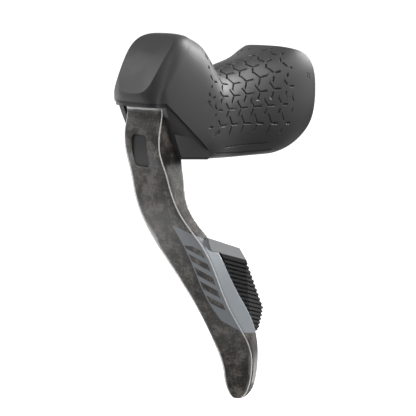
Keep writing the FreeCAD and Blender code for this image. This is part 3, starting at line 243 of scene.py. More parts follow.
class Bench:
    """The node tree of one material, or of the sky, and the few ways of adding to it."""

    def __init__(self, owner: bpy.types.Material | bpy.types.World) -> None:
        """Start with the owner's nodes cleared.

        Args:
            owner: The material or the sky.
        """
        self.owner = owner
        owner.use_nodes = True
        self.tree = owner.node_tree
        self.tree.nodes.clear()

    def node(self, kind: str, settings: Mapping[str, object], sockets: Mapping[str | int, object],
             output: str | int | None = 0) -> Wire | None:
        """Add a node: its settings first, then the values or links of its sockets.

        Args:
            kind: The node's type.
            settings: Its properties; "stops" holds a ramp's (place, colour) pairs, and "ramp_steps" how it
                goes from stop to stop.
            sockets: Input sockets by name or index, each with a wire or a constant.
            output: Which output to return, or None for a node that has none.

        Returns:
            The chosen output as a wire.
        """
        made = self.tree.nodes.new(kind)
        for key, value in settings.items():
            if key == "stops":
                self._set_stops(made.color_ramp, value)
            elif key == "ramp_steps":
                made.color_ramp.interpolation = value
            else:
                setattr(made, key, value)
        for key, value in sockets.items():
            if isinstance(value, Wire):
                self.tree.links.new(value.socket, made.inputs[key])
            else:
                made.inputs[key].default_value = value
        return None if output is None else Wire(self, made.outputs[output])

    @staticmethod
    def _set_stops(ramp: bpy.types.ColorRamp, stops: Sequence[tuple[float, Colour]]) -> None:
        """Give a ramp its stops, reusing the two that it starts with.

        Args:
            ramp: The ramp to fill.
            stops: Places from 0 to 1, each with its colour.
        """
        while len(ramp.elements) < len(stops):
            ramp.elements.new(1.0)
        for element, (place, colour) in zip(ramp.elements, stops):
            element.position = place
            element.color = (*colour, 1.0)

    def math(self, operation: str, *values: Wire | float) -> Wire:
        """Add a Math node.

        Args:
            operation: The node's operation.
            values: Its inputs, in order.

        Returns:
            The result.
        """
        return self.node("ShaderNodeMath", {"operation": operation}, dict(enumerate(values)))

    def spot(self) -> Wire:
        """The point on the piece in millimetres, in the part's own frame."""
        place = self.node("ShaderNodeTexCoord", {}, {}, "Object")
        return self.node("ShaderNodeVectorMath", {"operation": "SCALE"}, {0: place, "Scale": MM_PER_M})

    def parts_of(self, vector: Wire) -> tuple[Wire, Wire, Wire]:
        """Split a vector into its three values.

        Args:
            vector: The vector.

        Returns:
            Its X, Y and Z.
        """
        first = self.node("ShaderNodeSeparateXYZ", {}, {0: vector}, 0)
        outputs = first.socket.node.outputs
        return first, Wire(self, outputs[1]), Wire(self, outputs[2])

    def laid(self, vector: Wire, lay: Lay) -> Wire:
        """Turn a place and scale it along its axes, for a pattern with a grain.

        Args:
            vector: The place in millimetres.
            lay: How the pattern lies.

        Returns:
            The place in pattern units.
        """
        turn = tuple(math.radians(angle) for angle in lay.turn_deg)
        return self.node("ShaderNodeMapping", {"vector_type": "POINT"},
                         {"Vector": vector, "Rotation": turn, "Scale": lay.per_mm})

    def noise(self, vector: Wire, cloud: Cloud) -> Wire:
        """Cloudy noise from 0 to 1.

        Args:
            vector: The place in millimetres or in pattern units.
            cloud: The noise's scale and layers.

        Returns:
            The noise.
        """
        return self.node("ShaderNodeTexNoise", {"noise_dimensions": "3D"},
                         {"Vector": vector, "Scale": cloud.per_mm, "Detail": cloud.detail,
                          "Roughness": cloud.rough})

    def chips(self, vector: Wire) -> Wire:
        """A random grey for each cell of a cell pattern with one cell to a unit."""
        return self.node("ShaderNodeTexVoronoi", {"voronoi_dimensions": "3D", "feature": "F1"},
                         {"Vector": vector, "Scale": 1.0, "Randomness": 1.0}, "Color")

    def blend(self, factor: Wire, first: Wire | Colour, second: Wire | Colour) -> Wire:
        """Mix two colours.

        Args:
            factor: 0 for the first colour, 1 for the second.
            first: The first colour.
            second: The second colour.

        Returns:
            The mixed colour.
        """
        colours = [value if isinstance(value, Wire) else (*value, 1.0) for value in (first, second)]
        return self.node("ShaderNodeMix", {"data_type": "RGBA", "clamp_factor": True},
                         {0: factor, 6: colours[0], 7: colours[1]}, 2)

    def ramp(self, factor: Wire, stops: Sequence[tuple[float, Colour]], steps: str = "LINEAR") -> Wire:
        """A colour read from a ramp.

        Args:
            factor: The place on the ramp, from 0 to 1.
            stops: The ramp's places and colours.
            steps: How the ramp goes from stop to stop.

        Returns:
            The colour.
        """
        return self.node("ShaderNodeValToRGB", {"ramp_steps": steps, "stops": stops}, {0: factor}, "Color")

    def bump(self, height_mm: Wire, strength: float) -> Wire:
        """Surface relief from a height.

        Args:
            height_mm: The height in millimetres.
            strength: How much of the relief shows.

        Returns:
            The bumped normal.
        """
        return self.node("ShaderNodeBump", {}, {"Strength": strength, "Distance": 1.0,
                                                "Height": height_mm * (1 / MM_PER_M)})

    def surface(self, sockets: Mapping[str, object]) -> bpy.types.Material:
        """Close the material with a Principled surface.

        Args:
            sockets: Its inputs by name.

        Returns:
            The finished material.
        """
        filled = {name: (*value, 1.0) if isinstance(value, tuple) else value for name, value in sockets.items()}
        shader = self.node("ShaderNodeBsdfPrincipled", {}, filled)
        self.node("ShaderNodeOutputMaterial", {}, {"Surface": shader}, None)
        return self.owner


def shaded(colour: Colour, factor: float) -> Colour:
    """The colour times a factor, and at most white."""
    return tuple(min(1.0, value * factor) for value in colour)


@dataclass(frozen=True)
class Finish:
    """A named surface finish; each kind says how its material is made."""

    name: str

    def bench(self) -> Bench:
        """An empty material of the finish's name."""
        return Bench(bpy.data.materials.new(self.name))

    def material(self) -> bpy.types.Material:
        """Make the finish's material."""
        raise NotImplementedError


@dataclass(frozen=True)
class FlankLines:
    """Two long grooves low on each flank, with dots by the rim and dashes by the cheek on the outboard one.

    Lengths are in millimetres. An edge is a pair of distances: where a groove starts to show and where it is
    full.
    """

    upper_reach: Span = (20.0, 49.0)
    upper_height: float = -12.7
    lower_reach: Span = (14.5, 55.0)
    lower_height: float = -16.6
    lower_bend: float = 33.0
    lower_slope: float = 0.077
    line_edge: Span = (0.5, 0.2)
    line_soft: float = 0.4
    dots: tuple[Span, ...] = ((-2.6, 18.6), (-4.1, 18.1), (-2.6, 17.4), (-4.1, 16.6))
    dot_edge: Span = (0.6, 0.3)
    dash_reach: Span = (54.8, 58.4)
    dash_heights: Span = (-5.9, -4.9)
    dash_slope: float = 0.38
    dash_edge: Span = (0.4, 0.15)
    dash_soft: float = 0.3
    outboard: Span = (10.0, 11.0)

    def mask(self, x: Wire, y: Wire, z: Wire) -> Wire:
        """Find the grooves: each is a distance from a line or a point, cut off at its ends.

        Args:
            x: Place along the hood.
            y: Place across the hood.
            z: Height.

        Returns:
            1 in the grooves, 0 elsewhere.
        """
        upper = abs(z - self.upper_height).rises(*self.line_edge)
        lower_height = self.lower_height + (x - self.lower_bend).most(0.0) * self.lower_slope
        lower = abs(z - lower_height).rises(*self.line_edge)
        found = (upper * x.inside(*self.upper_reach, self.line_soft)).most(
            lower * x.inside(*self.lower_reach, self.line_soft))
        outboard = y.rises(*self.outboard)
        for dot_x, dot_z in self.dots:
            aside, above = x - dot_x, z - dot_z
            dot = (aside * aside + above * above).root().rises(*self.dot_edge)
            found = found.most(dot * outboard)
        middle = sum(self.dash_reach) / 2
        for height in self.dash_heights:
            above = z - height + (x - middle) * self.dash_slope
            dash = abs(above).rises(*self.dash_edge) * x.inside(*self.dash_reach, self.dash_soft)
            found = found.most(dash * outboard)
        return found


@dataclass(frozen=True)
class GripRubber(Finish):
    """Matte charcoal rubber with moulded three-armed grip marks in rows round the hood.

    Lengths are in millimetres. Each arm of a mark has its direction in degrees, and how much further out it
    starts. A trim is what the arms lose towards one end of the grip, first at their starts, then at their tips.
    """

    colour: Colour = (0.0165, 0.0165, 0.0172)
    # Near black, painted into the grooves as shade.
    painted_groove_shade: Colour = (0.003, 0.003, 0.003)
    clouds: Cloud = Cloud(0.09)
    cloud_lift: float = 1.35
    grain: Cloud = Cloud(3.2, rough=0.7)
    grain_share: float = 0.3
    grain_depth: float = 0.012
    relief: float = 0.9
    gloss: float = 0.42
    roughness: float = 0.46
    cloud_dull: float = 0.12
    groove_dull: float = 0.25
    axis_height: float = 4.0
    mark_pitch: float = 8.2
    row_pitch: float = 7.1
    row_curve: Vector3 = (4.13, -0.0435, -0.00015)
    row_shifts: tuple[float, ...] = (0.3, 1.0, 0.3, 2.3, 6.5, 4.3)
    row_half: float = 0.45
    row_soft: float = 0.05
    grip_reach: Span = (6.0, 62.0)
    grip_soft: float = 1.0
    arms: tuple[Span, ...] = ((0.0, 0.0), (120.0, 0.0), (240.0, 0.9))
    arm_start: float = 0.1
    arm_length: float = 3.9
    rear_end: Span = (25.0, 11.0)
    rear_trim: Span = (1.3, 0.6)
    front_end: Span = (46.0, 57.0)
    front_trim: Span = (1.1, 1.4)
    groove_half: float = 0.34
    groove_edge: Span = (1.5, 0.6)
    groove_depth: float = 0.45
    flank_lines: FlankLines = FlankLines()

    def gap(self, x: Field, y: Field, z: Field) -> Field:
        """Distance to the nearest arm of the marks, on a grid of hood length by angle round the hood's axis.

        The angle gives a row number through a quadratic, each row has its own shift along the hood, and the mark
        is the least distance to three short lines 120 degrees apart. The lines part from each other and shorten
        towards both ends of the grip.

        Args:
            x: Place along the hood.
            y: Place across the hood.
            z: Height.

        Returns:
            The distance, which is large outside the grip.
        """
        angle = (z - self.axis_height).turn_from(abs(y))
        start, slope, curve = self.row_curve
        row = start + angle * slope + angle * angle * curve
        number = row.nearest_whole()
        place = (x - number.pick(self.row_shifts)) * (1 / self.mark_pitch)
        rearward = (place.nearest_whole() - place) * self.mark_pitch
        upward = (number - row) * self.row_pitch
        at_rear, at_front = x.rises(*self.rear_end), x.rises(*self.front_end)
        inner = self.arm_start + at_rear * self.rear_trim[0] + at_front * self.front_trim[0]
        outer = self.arm_length - at_rear * self.rear_trim[1] - at_front * self.front_trim[1]
        gap = None
        for degrees, further in self.arms:
            along, over = math.cos(math.radians(degrees)), math.sin(math.radians(degrees))
            reach = (rearward * along + upward * over).most(inner + further).least(outer)
            aside, above = rearward - reach * along, upward - reach * over
            distance = (aside * aside + above * above).root()
            gap = distance if gap is None else gap.least(distance)
        last_row = len(self.row_shifts) - 1
        covered = x.inside(*self.grip_reach, self.grip_soft) * row.inside(
            -self.row_half, last_row + self.row_half, self.row_soft)
        return gap + (1 - covered) * self.mark_pitch

    def marks(self, x: Field, y: Field, z: Field) -> Field:
        """1 in the grip marks' grooves and 0 beside them."""
        return self.gap(x, y, z).rises(*(self.groove_half * share for share in self.groove_edge))

    def material(self) -> bpy.types.Material:
        """Make the rubber: faint clouds of colour, painted shade in the grooves, and relief in the grain and the
        lines.

        Returns:
            The rubber's material.
        """
        bench = self.bench()
        spot = bench.spot()
        x, y, z = bench.parts_of(spot)
        lines = self.flank_lines.mask(x, y, z)
        grooves = self.marks(x, y, z).most(lines)
        clouds = bench.noise(spot, self.clouds)
        grain = bench.noise(spot, self.grain)
        mottle = clouds * (1 - self.grain_share) + grain * self.grain_share
        skin = bench.blend(mottle, self.colour, shaded(self.colour, self.cloud_lift))
        height = grain * self.grain_depth - lines * self.groove_depth
        return bench.surface({
            # The grooves and flank lines are coloured near black: painted shade in the recesses.
            "Base Color": bench.blend(grooves, skin, self.painted_groove_shade),
            "Roughness": self.roughness + clouds * self.cloud_dull + grooves * self.groove_dull,
            "Specular IOR Level": self.gloss,
            "Normal": bench.bump(height, self.relief),
        })


@dataclass(frozen=True)
class PaintedField:
    """Painted field on the blade with slanted bars left bare.

    Lengths are in millimetres. Each edge of the field is a plane: its slopes along X, Y and Z, and its start.
    The crease's place across the blade is a parabola of its height, and the bars have an even pitch.
    """

    top_edge: Plane = (0.334, -0.265, -1.0, -69.2)
    foot_edge: Plane = (-0.274, 0.464, 1.0, 95.9)
    inner_edge: Plane = (0.0, 1.0, 0.2914, 1.34214)
    edge_soft: float = 0.1
    crease_peak: Span = (31.9, -87.0)
    crease_bend: float = 0.0061
    crease_margin: Span = (1.9, 2.1)
    inner_margin: Span = (0.5, 0.7)
    bar_pitch: float = 6.2
    bar_share: float = 0.58
    bar_slant: float = 0.45
    bar_soft: float = 0.02
    bar_heights: Span = (-84.2, -54.6)

    def mask(self, x: Wire, y: Wire, z: Wire) -> Wire:
        """Find the paint: inside the three edges, less the bars between the crease and the inner edge.

        Args:
            x: Place forward.
            y: Place outboard.
            z: Height.

        Returns:
            1 on the paint, 0 on the bare fibre.
        """
        past_edges = [x * along + y * across + z * upward + start for along, across, upward, start in
                      (self.top_edge, self.foot_edge, self.inner_edge)]
        crease, peak_height = self.crease_peak
        fall = z - peak_height
        from_crease = crease - fall * fall * self.crease_bend - y
        phase = ((from_crease * self.bar_slant - z) * (1 / self.bar_pitch)).fraction()
        bars = phase.inside(0.5 - self.bar_share / 2, 0.5 + self.bar_share / 2, self.bar_soft)
        room = from_crease.rises(*self.crease_margin) * past_edges[-1].rises(*self.inner_margin)
        painted = 1 - bars * room * z.inside(*self.bar_heights, self.edge_soft)
        for past_edge in past_edges:
            painted = painted * past_edge.rises(-self.edge_soft, self.edge_soft)
        return painted


@dataclass(frozen=True)
class FibreLacquer(Finish):
    """Chopped fibre in resin under a clear lacquer, with a slate field and a painted highlight: a light grey
    line along the crease.

    Lengths are in millimetres. The shares are those of the two lays of fibre, the speckle, the drift and the
    chips.
    """

    dark: Colour = (0.005, 0.0045, 0.004)
    middle: Colour = (0.024, 0.0215, 0.0195)
    light: Colour = (0.105, 0.094, 0.084)
    tones: Vector3 = (0.40, 0.50, 0.62)
    slate: Colour = (0.150, 0.165, 0.180)
    slate_fleck: float = 0.08
    # Light grey painted into the crease as a highlight.
    painted_highlight: Colour = (0.58, 0.575, 0.57)
    fibre: Cloud = Cloud(1.0, 4.0, 0.7)
    first_lay: Lay = Lay((1.1, 1.1, 0.30), (20.0, 35.0, 0.0))
    second_lay: Lay = Lay((0.9, 0.30, 1.0), (0.0, -30.0, 40.0))
    chip_lay: Lay = Lay((0.5, 0.4, 0.22), (20.0, -25.0, 15.0))
    speckle: Cloud = Cloud(2.0, 4.0, 0.75)
    drift: Cloud = Cloud(0.16)
    shares: tuple[float, ...] = (0.32, 0.32, 0.30, 0.45, 0.06)
    tone_drop: float = 0.22
    roughness: float = 0.30
    fibre_dull: float = 0.12
    paint_dull: float = 0.06
    lacquer: float = 0.75
    lacquer_roughness: float = 0.10
    speckle_depth: float = 0.006
    paint_depth: float = 0.02
    relief: float = 0.6
    painted_field: PaintedField = PaintedField()

    def material(self) -> bpy.types.Material:
        """Make the blade's finish: lays of stretched fibre, speckle, paint, a painted highlight along the crease
        and lacquer.

        Returns:
            The blade's material.
        """
        bench = self.bench()
        spot = bench.spot()
        first = bench.noise(bench.laid(spot, self.first_lay), self.fibre)
        second = bench.noise(bench.laid(spot, self.second_lay), self.fibre)
        speckle = bench.noise(spot, self.speckle)
        drift = bench.noise(spot, self.drift)
        chip = bench.chips(bench.laid(spot, self.chip_lay))
        layers = zip((first, second, speckle, drift, chip), self.shares)
        tone = sum((layer * share for layer, share in layers), -self.tone_drop)
        fibre = bench.ramp(tone, tuple(zip(self.tones, (self.dark, self.middle, self.light))))
        paint = self.painted_field.mask(*bench.parts_of(spot))
        fleck = speckle * self.slate_fleck + (1 - self.slate_fleck / 2)
        slate = bench.node("ShaderNodeVectorMath", {"operation": "SCALE"}, {0: self.slate, "Scale": fleck})
        # Where the skin's attribute marks the crease, the colour turns light grey: a painted highlight.
        edge = bench.node("ShaderNodeAttribute", {"attribute_type": "GEOMETRY", "attribute_name": PAINTED_HIGHLIGHT_ATTR}, {},
                          "Fac")
        height = speckle * self.speckle_depth + paint * self.paint_depth
        return bench.surface({
            "Base Color": bench.blend(edge, bench.blend(paint, fibre, slate), self.painted_highlight),
            "Roughness": self.roughness + first * self.fibre_dull + paint * self.paint_dull,
            "Coat Weight": self.lacquer,
            "Coat Roughness": self.lacquer_roughness,
            "Normal": bench.bump(height, self.relief),
        })


@dataclass(frozen=True)
class Moulded(Finish):
    """Moulded plastic or paint with a fine spark-eroded grain. Lengths are in millimetres."""

    colour: Colour
    roughness: float = 0.5
    grain_per_mm: float = 2.6
    grain_depth: float = 0.010
    coat: float = 0.0
    gloss: float = 0.5
    grain_rough: float = 0.65
    grain_share: float = 0.4
    clouds: Cloud = Cloud(0.12)
    cloud_lift: float = 1.25
    rough_spread: float = 0.12
    relief: float = 0.8

    def material(self) -> bpy.types.Material:
        """Make the finish: grain in the relief, and faint clouds in the colour and gloss.

        Returns:
            The moulding's material.
        """
        bench = self.bench()
        spot = bench.spot()
        clouds = bench.noise(spot, self.clouds)
        grain = bench.noise(spot, Cloud(self.grain_per_mm, rough=self.grain_rough))
        mottle = clouds * (1 - self.grain_share) + grain * self.grain_share
        return bench.surface({
            "Base Color": bench.blend(mottle, self.colour, shaded(self.colour, self.cloud_lift)),
            "Roughness": self.roughness - self.rough_spread / 2 + grain * self.rough_spread,
            "Specular IOR Level": self.gloss,
            "Coat Weight": self.coat,
            "Normal": bench.bump(grain * self.grain_depth, self.relief),
        })


class Grain(Enum):
    """The way a metal's fine tool marks run."""

    ALONG_X = Lay((0.05, 4.0, 4.0))
    ALONG_Y = Lay((4.0, 0.05, 4.0))
    ALONG_Z = Lay((4.0, 4.0, 0.05))
    EVEN = Lay((2.0, 2.0, 2.0))


@dataclass(frozen=True)
class WorkedMetal(Finish):
    """Turned, drawn or rolled metal with fine tool marks. Lengths are in millimetres."""

    colour: Colour
    roughness: float = 0.3
    grain: Grain = Grain.EVEN
    marks: Cloud = Cloud(1.0)
    mark_share: float = 0.3
    mark_depth: float = 0.006
    stain: Cloud = Cloud(0.2)
    stain_share: float = 0.5
    stain_shade: float = 0.75
    rough_spread: float = 0.16
    relief: float = 0.6

    def material(self) -> bpy.types.Material:
        """Make the metal: tool marks in its gloss and relief, and a faint stain.

        Returns:
            The metal's material.
        """
        bench = self.bench()
        spot = bench.spot()
        marks = bench.noise(bench.laid(spot, self.grain.value), self.marks)
        stain = bench.noise(spot, self.stain)
        tarnish = stain * self.stain_share + marks * self.mark_share
        return bench.surface({
            "Base Color": bench.blend(tarnish, self.colour, shaded(self.colour, self.stain_shade)),
            "Metallic": 1.0,
            "Roughness": self.roughness - self.rough_spread / 2 + marks * self.rough_spread,
            "Normal": bench.bump(marks * self.mark_depth, self.relief),
        })


@dataclass(frozen=True)
class ClearWindow(Finish):
    """Milky clear plastic over a small lamp."""

    colour: Colour = (0.62, 0.63, 0.60)
    clouds: Cloud = Cloud(0.9)
    cloud_shade: float = 0.7
    roughness: float = 0.12
    rough_spread: float = 0.08
    clearness: float = 0.35
    bending: float = 1.49

    def material(self) -> bpy.types.Material:
        """Make the lens: a soft cloud in a glossy plastic.

        Returns:
            The lens's material.
        """
        bench = self.bench()
        clouds = bench.noise(bench.spot(), self.clouds)
        return bench.surface({
            "Base Color": bench.blend(clouds, self.colour, shaded(self.colour, self.cloud_shade)),
            "Roughness": self.roughness + clouds * self.rough_spread,
            "Transmission Weight": self.clearness,
            "IOR": self.bending,
        })


@dataclass(frozen=True)
class StagePaper(Finish):
    """White paper that is lit from behind, so that the ground stays plain."""

    colour: Colour = (0.30, 0.30, 0.30)
    fibre_colour: Colour = (0.32, 0.32, 0.32)
    fibres: Cloud = Cloud(0.02)
    roughness: float = 0.9
    glow: Colour = (1.0, 1.0, 1.0)
    glow_strength: float = 1.0

    def material(self) -> bpy.types.Material:
        """Make the paper: faint fibres, and a glow of its own.

        Returns:
            The paper's material.
        """
        bench = self.bench()
        fibres = bench.noise(bench.spot(), self.fibres)
        return bench.surface({
            "Base Color": bench.blend(fibres, self.colour, self.fibre_colour),
            "Roughness": self.roughness,
            "Specular IOR Level": 0.0,
            "Emission Color": self.glow,
            "Emission Strength": self.glow_strength,
        })


def read_rows(items: bpy.types.bpy_prop_collection, name: str, columns: int, kind: type) -> np.ndarray:
    """Read one property of many mesh items as an array with one row to an item.

    Args:
        items: The mesh's vertices or edges.
        name: The property.
        columns: How many values each item has.
        kind: The values' type.

    Returns:
        The rows.
    """
    values = np.empty(len(items) * columns, dtype=kind)
    items.foreach_get(name, values)
    return values.reshape(-1, columns)


def points_and_normals(mesh: bpy.types.Mesh) -> tuple[np.ndarray, np.ndarray]:
    """A mesh's points in millimetres and its normals there, one to a row."""
    points = read_rows(mesh.vertices, "co", 3, np.float32) * MM_PER_M
    return points, read_rows(mesh.vertices, "normal", 3, np.float32)


def as_samples(rows: np.ndarray) -> list[Samples]:
    """The columns of an array, each as samples."""
    return [column.view(Samples) for column in rows.T.astype(float)]


def shade_smooth(mesh: bpy.types.Mesh) -> None:
    """Shade every face of a mesh smooth."""
    mesh.polygons.foreach_set("use_smooth", np.ones(len(mesh.polygons), dtype=bool))


def link_piece(mesh: bpy.types.Mesh) -> bpy.types.Object:
    """Make an object of a mesh's own name.

    Args:
        mesh: The mesh, with its place in its points.

    Returns:
        The object, linked to the scene and sitting at the origin.
    """
    made = bpy.data.objects.new(mesh.name, mesh)
    bpy.context.scene.collection.objects.link(made)
    return made


@dataclass
class Smoothed:
    """A merged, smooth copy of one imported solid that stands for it, so that it shades without facet lines."""

    node: str
    body: str
    crease_deg: float = 32.0
    merge: float = 1e-6

    def build(self, source: bpy.types.Object, finish: bpy.types.Material, slot: str) -> bpy.types.Object:
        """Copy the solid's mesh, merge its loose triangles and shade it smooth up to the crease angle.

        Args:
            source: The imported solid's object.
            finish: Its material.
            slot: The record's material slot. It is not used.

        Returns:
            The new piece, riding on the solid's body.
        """
        mesh = source.data.copy()
        mesh.name = f"{self.node}_skin"
        work = bmesh.new()
        work.from_mesh(mesh)
        bmesh.ops.remove_doubles(work, verts=work.verts, dist=self.merge)
        work.to_mesh(mesh)
        work.free()
        if mesh.has_custom_normals:
            mesh.attributes.remove(mesh.attributes["custom_normal"])
        self.shape(mesh)
        shade_smooth(mesh)
        mesh.set_sharp_from_angle(angle=math.radians(self.crease_deg))
        mesh.materials.clear()
        mesh.materials.append(finish)
        piece = link_piece(mesh)
        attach(piece, self.body)
        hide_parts(self.node)
        LOG.info("%s stands for %s", piece.name, self.node)
        return piece

    def shape(self, mesh: bpy.types.Mesh) -> None:
        """Work detail into the merged mesh; a plain skin has none."""


@dataclass
class GripHood(Smoothed):
    """The rubber hood's skin with its grip marks pressed in as grooves. Lengths are in millimetres."""

    rubber: GripRubber = GripRubber("hood_rubber")
    finest: float = 0.38
    near: float = 0.55
    rounds: int = 6

    def _outward(self, points: np.ndarray, normals: np.ndarray) -> np.ndarray:
        """Find where the skin faces away from the hood's long axis, so that its inner wall is left alone.

        Args:
            points: Places in millimetres, one to a row.
            normals: The skin's normals there, of any length.

        Returns:
            True for each place that faces outwards.
        """
        across = normals[:, 1] * points[:, 1]
        upward = normals[:, 2] * (points[:, 2] - self.rubber.axis_height)
        return across + upward > 0.0

    def _split(self, mesh: bpy.types.Mesh) -> None:
        """Halve each edge near a mark that is longer than the finest length.

        Args:
            mesh: The hood's merged triangles.
        """
        points, normals = points_and_normals(mesh)
        ends = read_rows(mesh.edges, "vertices", 2, np.int32)
        first, second = points[ends[:, 0]], points[ends[:, 1]]
        length = np.linalg.norm(second - first, axis=1)
        middle = (first + second) / 2
        facing = self._outward(middle, normals[ends[:, 0]] + normals[ends[:, 1]])
        gap = self.rubber.gap(*as_samples(middle))
        chosen = np.flatnonzero(facing & (length > self.finest) & (gap < self.near + length / 2))
        work = bmesh.new()
        work.from_mesh(mesh)
        work.edges.ensure_lookup_table()
        bmesh.ops.subdivide_edges(work, edges=[work.edges[index] for index in chosen], cuts=1)
        bmesh.ops.triangulate(work, faces=work.faces)
        work.to_mesh(mesh)
        work.free()

    def shape(self, mesh: bpy.types.Mesh) -> None:
        """Refine the skin by the marks, then press it in along its normals by the mark times the groove's depth.

        Args:
            mesh: The hood's merged triangles.
        """
        for _ in range(self.rounds):
            self._split(mesh)
        points, normals = points_and_normals(mesh)
        marks = np.asarray(self.rubber.marks(*as_samples(points)))
        depth = self.rubber.groove_depth * marks * self._outward(points, normals)
        pressed = (points - normals * depth[:, None]) / MM_PER_M
        mesh.vertices.foreach_set("co", pressed.astype(np.float32).ravel())
        mesh.update()
        LOG.info("hood skin has %d triangles", len(mesh.polygons))


@dataclass
class BladeSkin(Smoothed):
    """The blade's skin, with its outboard crease marked for a thin line of painted highlight.

    The crease is where the normal's outboard part lies in one span and its forward part is past another. The
    window in the blade's front ends inboard of the last span, which is in millimetres.
    """

    faces_outboard: Span = (0.42, 0.84)
    soft: float = 0.10
    faces_forward: Span = (0.2, 0.35)
    past_window: Span = (5.0, 7.0)

    def shape(self, mesh: bpy.types.Mesh) -> None:
        """Mark the points whose normals lie between those of the front and of the outboard flank, where the
        highlight is painted.

        Args:
            mesh: The blade's merged triangles.
        """
        points, normals = points_and_normals(mesh)
        forward, outboard, _ = as_samples(normals)
        _, across, _ = as_samples(points)
        crease = outboard.inside(*self.faces_outboard, self.soft) * forward.rises(*self.faces_forward)
        marked = np.ascontiguousarray(crease * across.rises(*self.past_window), dtype=np.float32)
        # The mark sets where the light grey highlight is painted.
        mesh.attributes.new(PAINTED_HIGHLIGHT_ATTR, "FLOAT", "POINT").data.foreach_set("value", marked)


@dataclass
class PressedCoil(Smoothed):
    """A smooth skin of a coil spring along X, with a mesh of its own; its joint and its travel in metres are
    kept but nothing reads them.
    """

    joint: str = "piston_slide"
    travel: float = 0.0034

    def build(self, source: bpy.types.Object, finish: bpy.types.Material, slot: str) -> bpy.types.Object:
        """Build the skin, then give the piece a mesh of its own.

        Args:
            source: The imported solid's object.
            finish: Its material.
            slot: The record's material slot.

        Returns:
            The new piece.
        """
        rear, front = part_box(self.node)
        piece = super().build(source, finish, slot)
        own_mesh(piece)
        return piece


@dataclass(frozen=True)
class Lamp:
    """A soft rectangular lamp; its direction from the part runs along the camera's right, up and back."""

    name: str
    way: Vector3
    distance: float
    size: Span
    watts: float


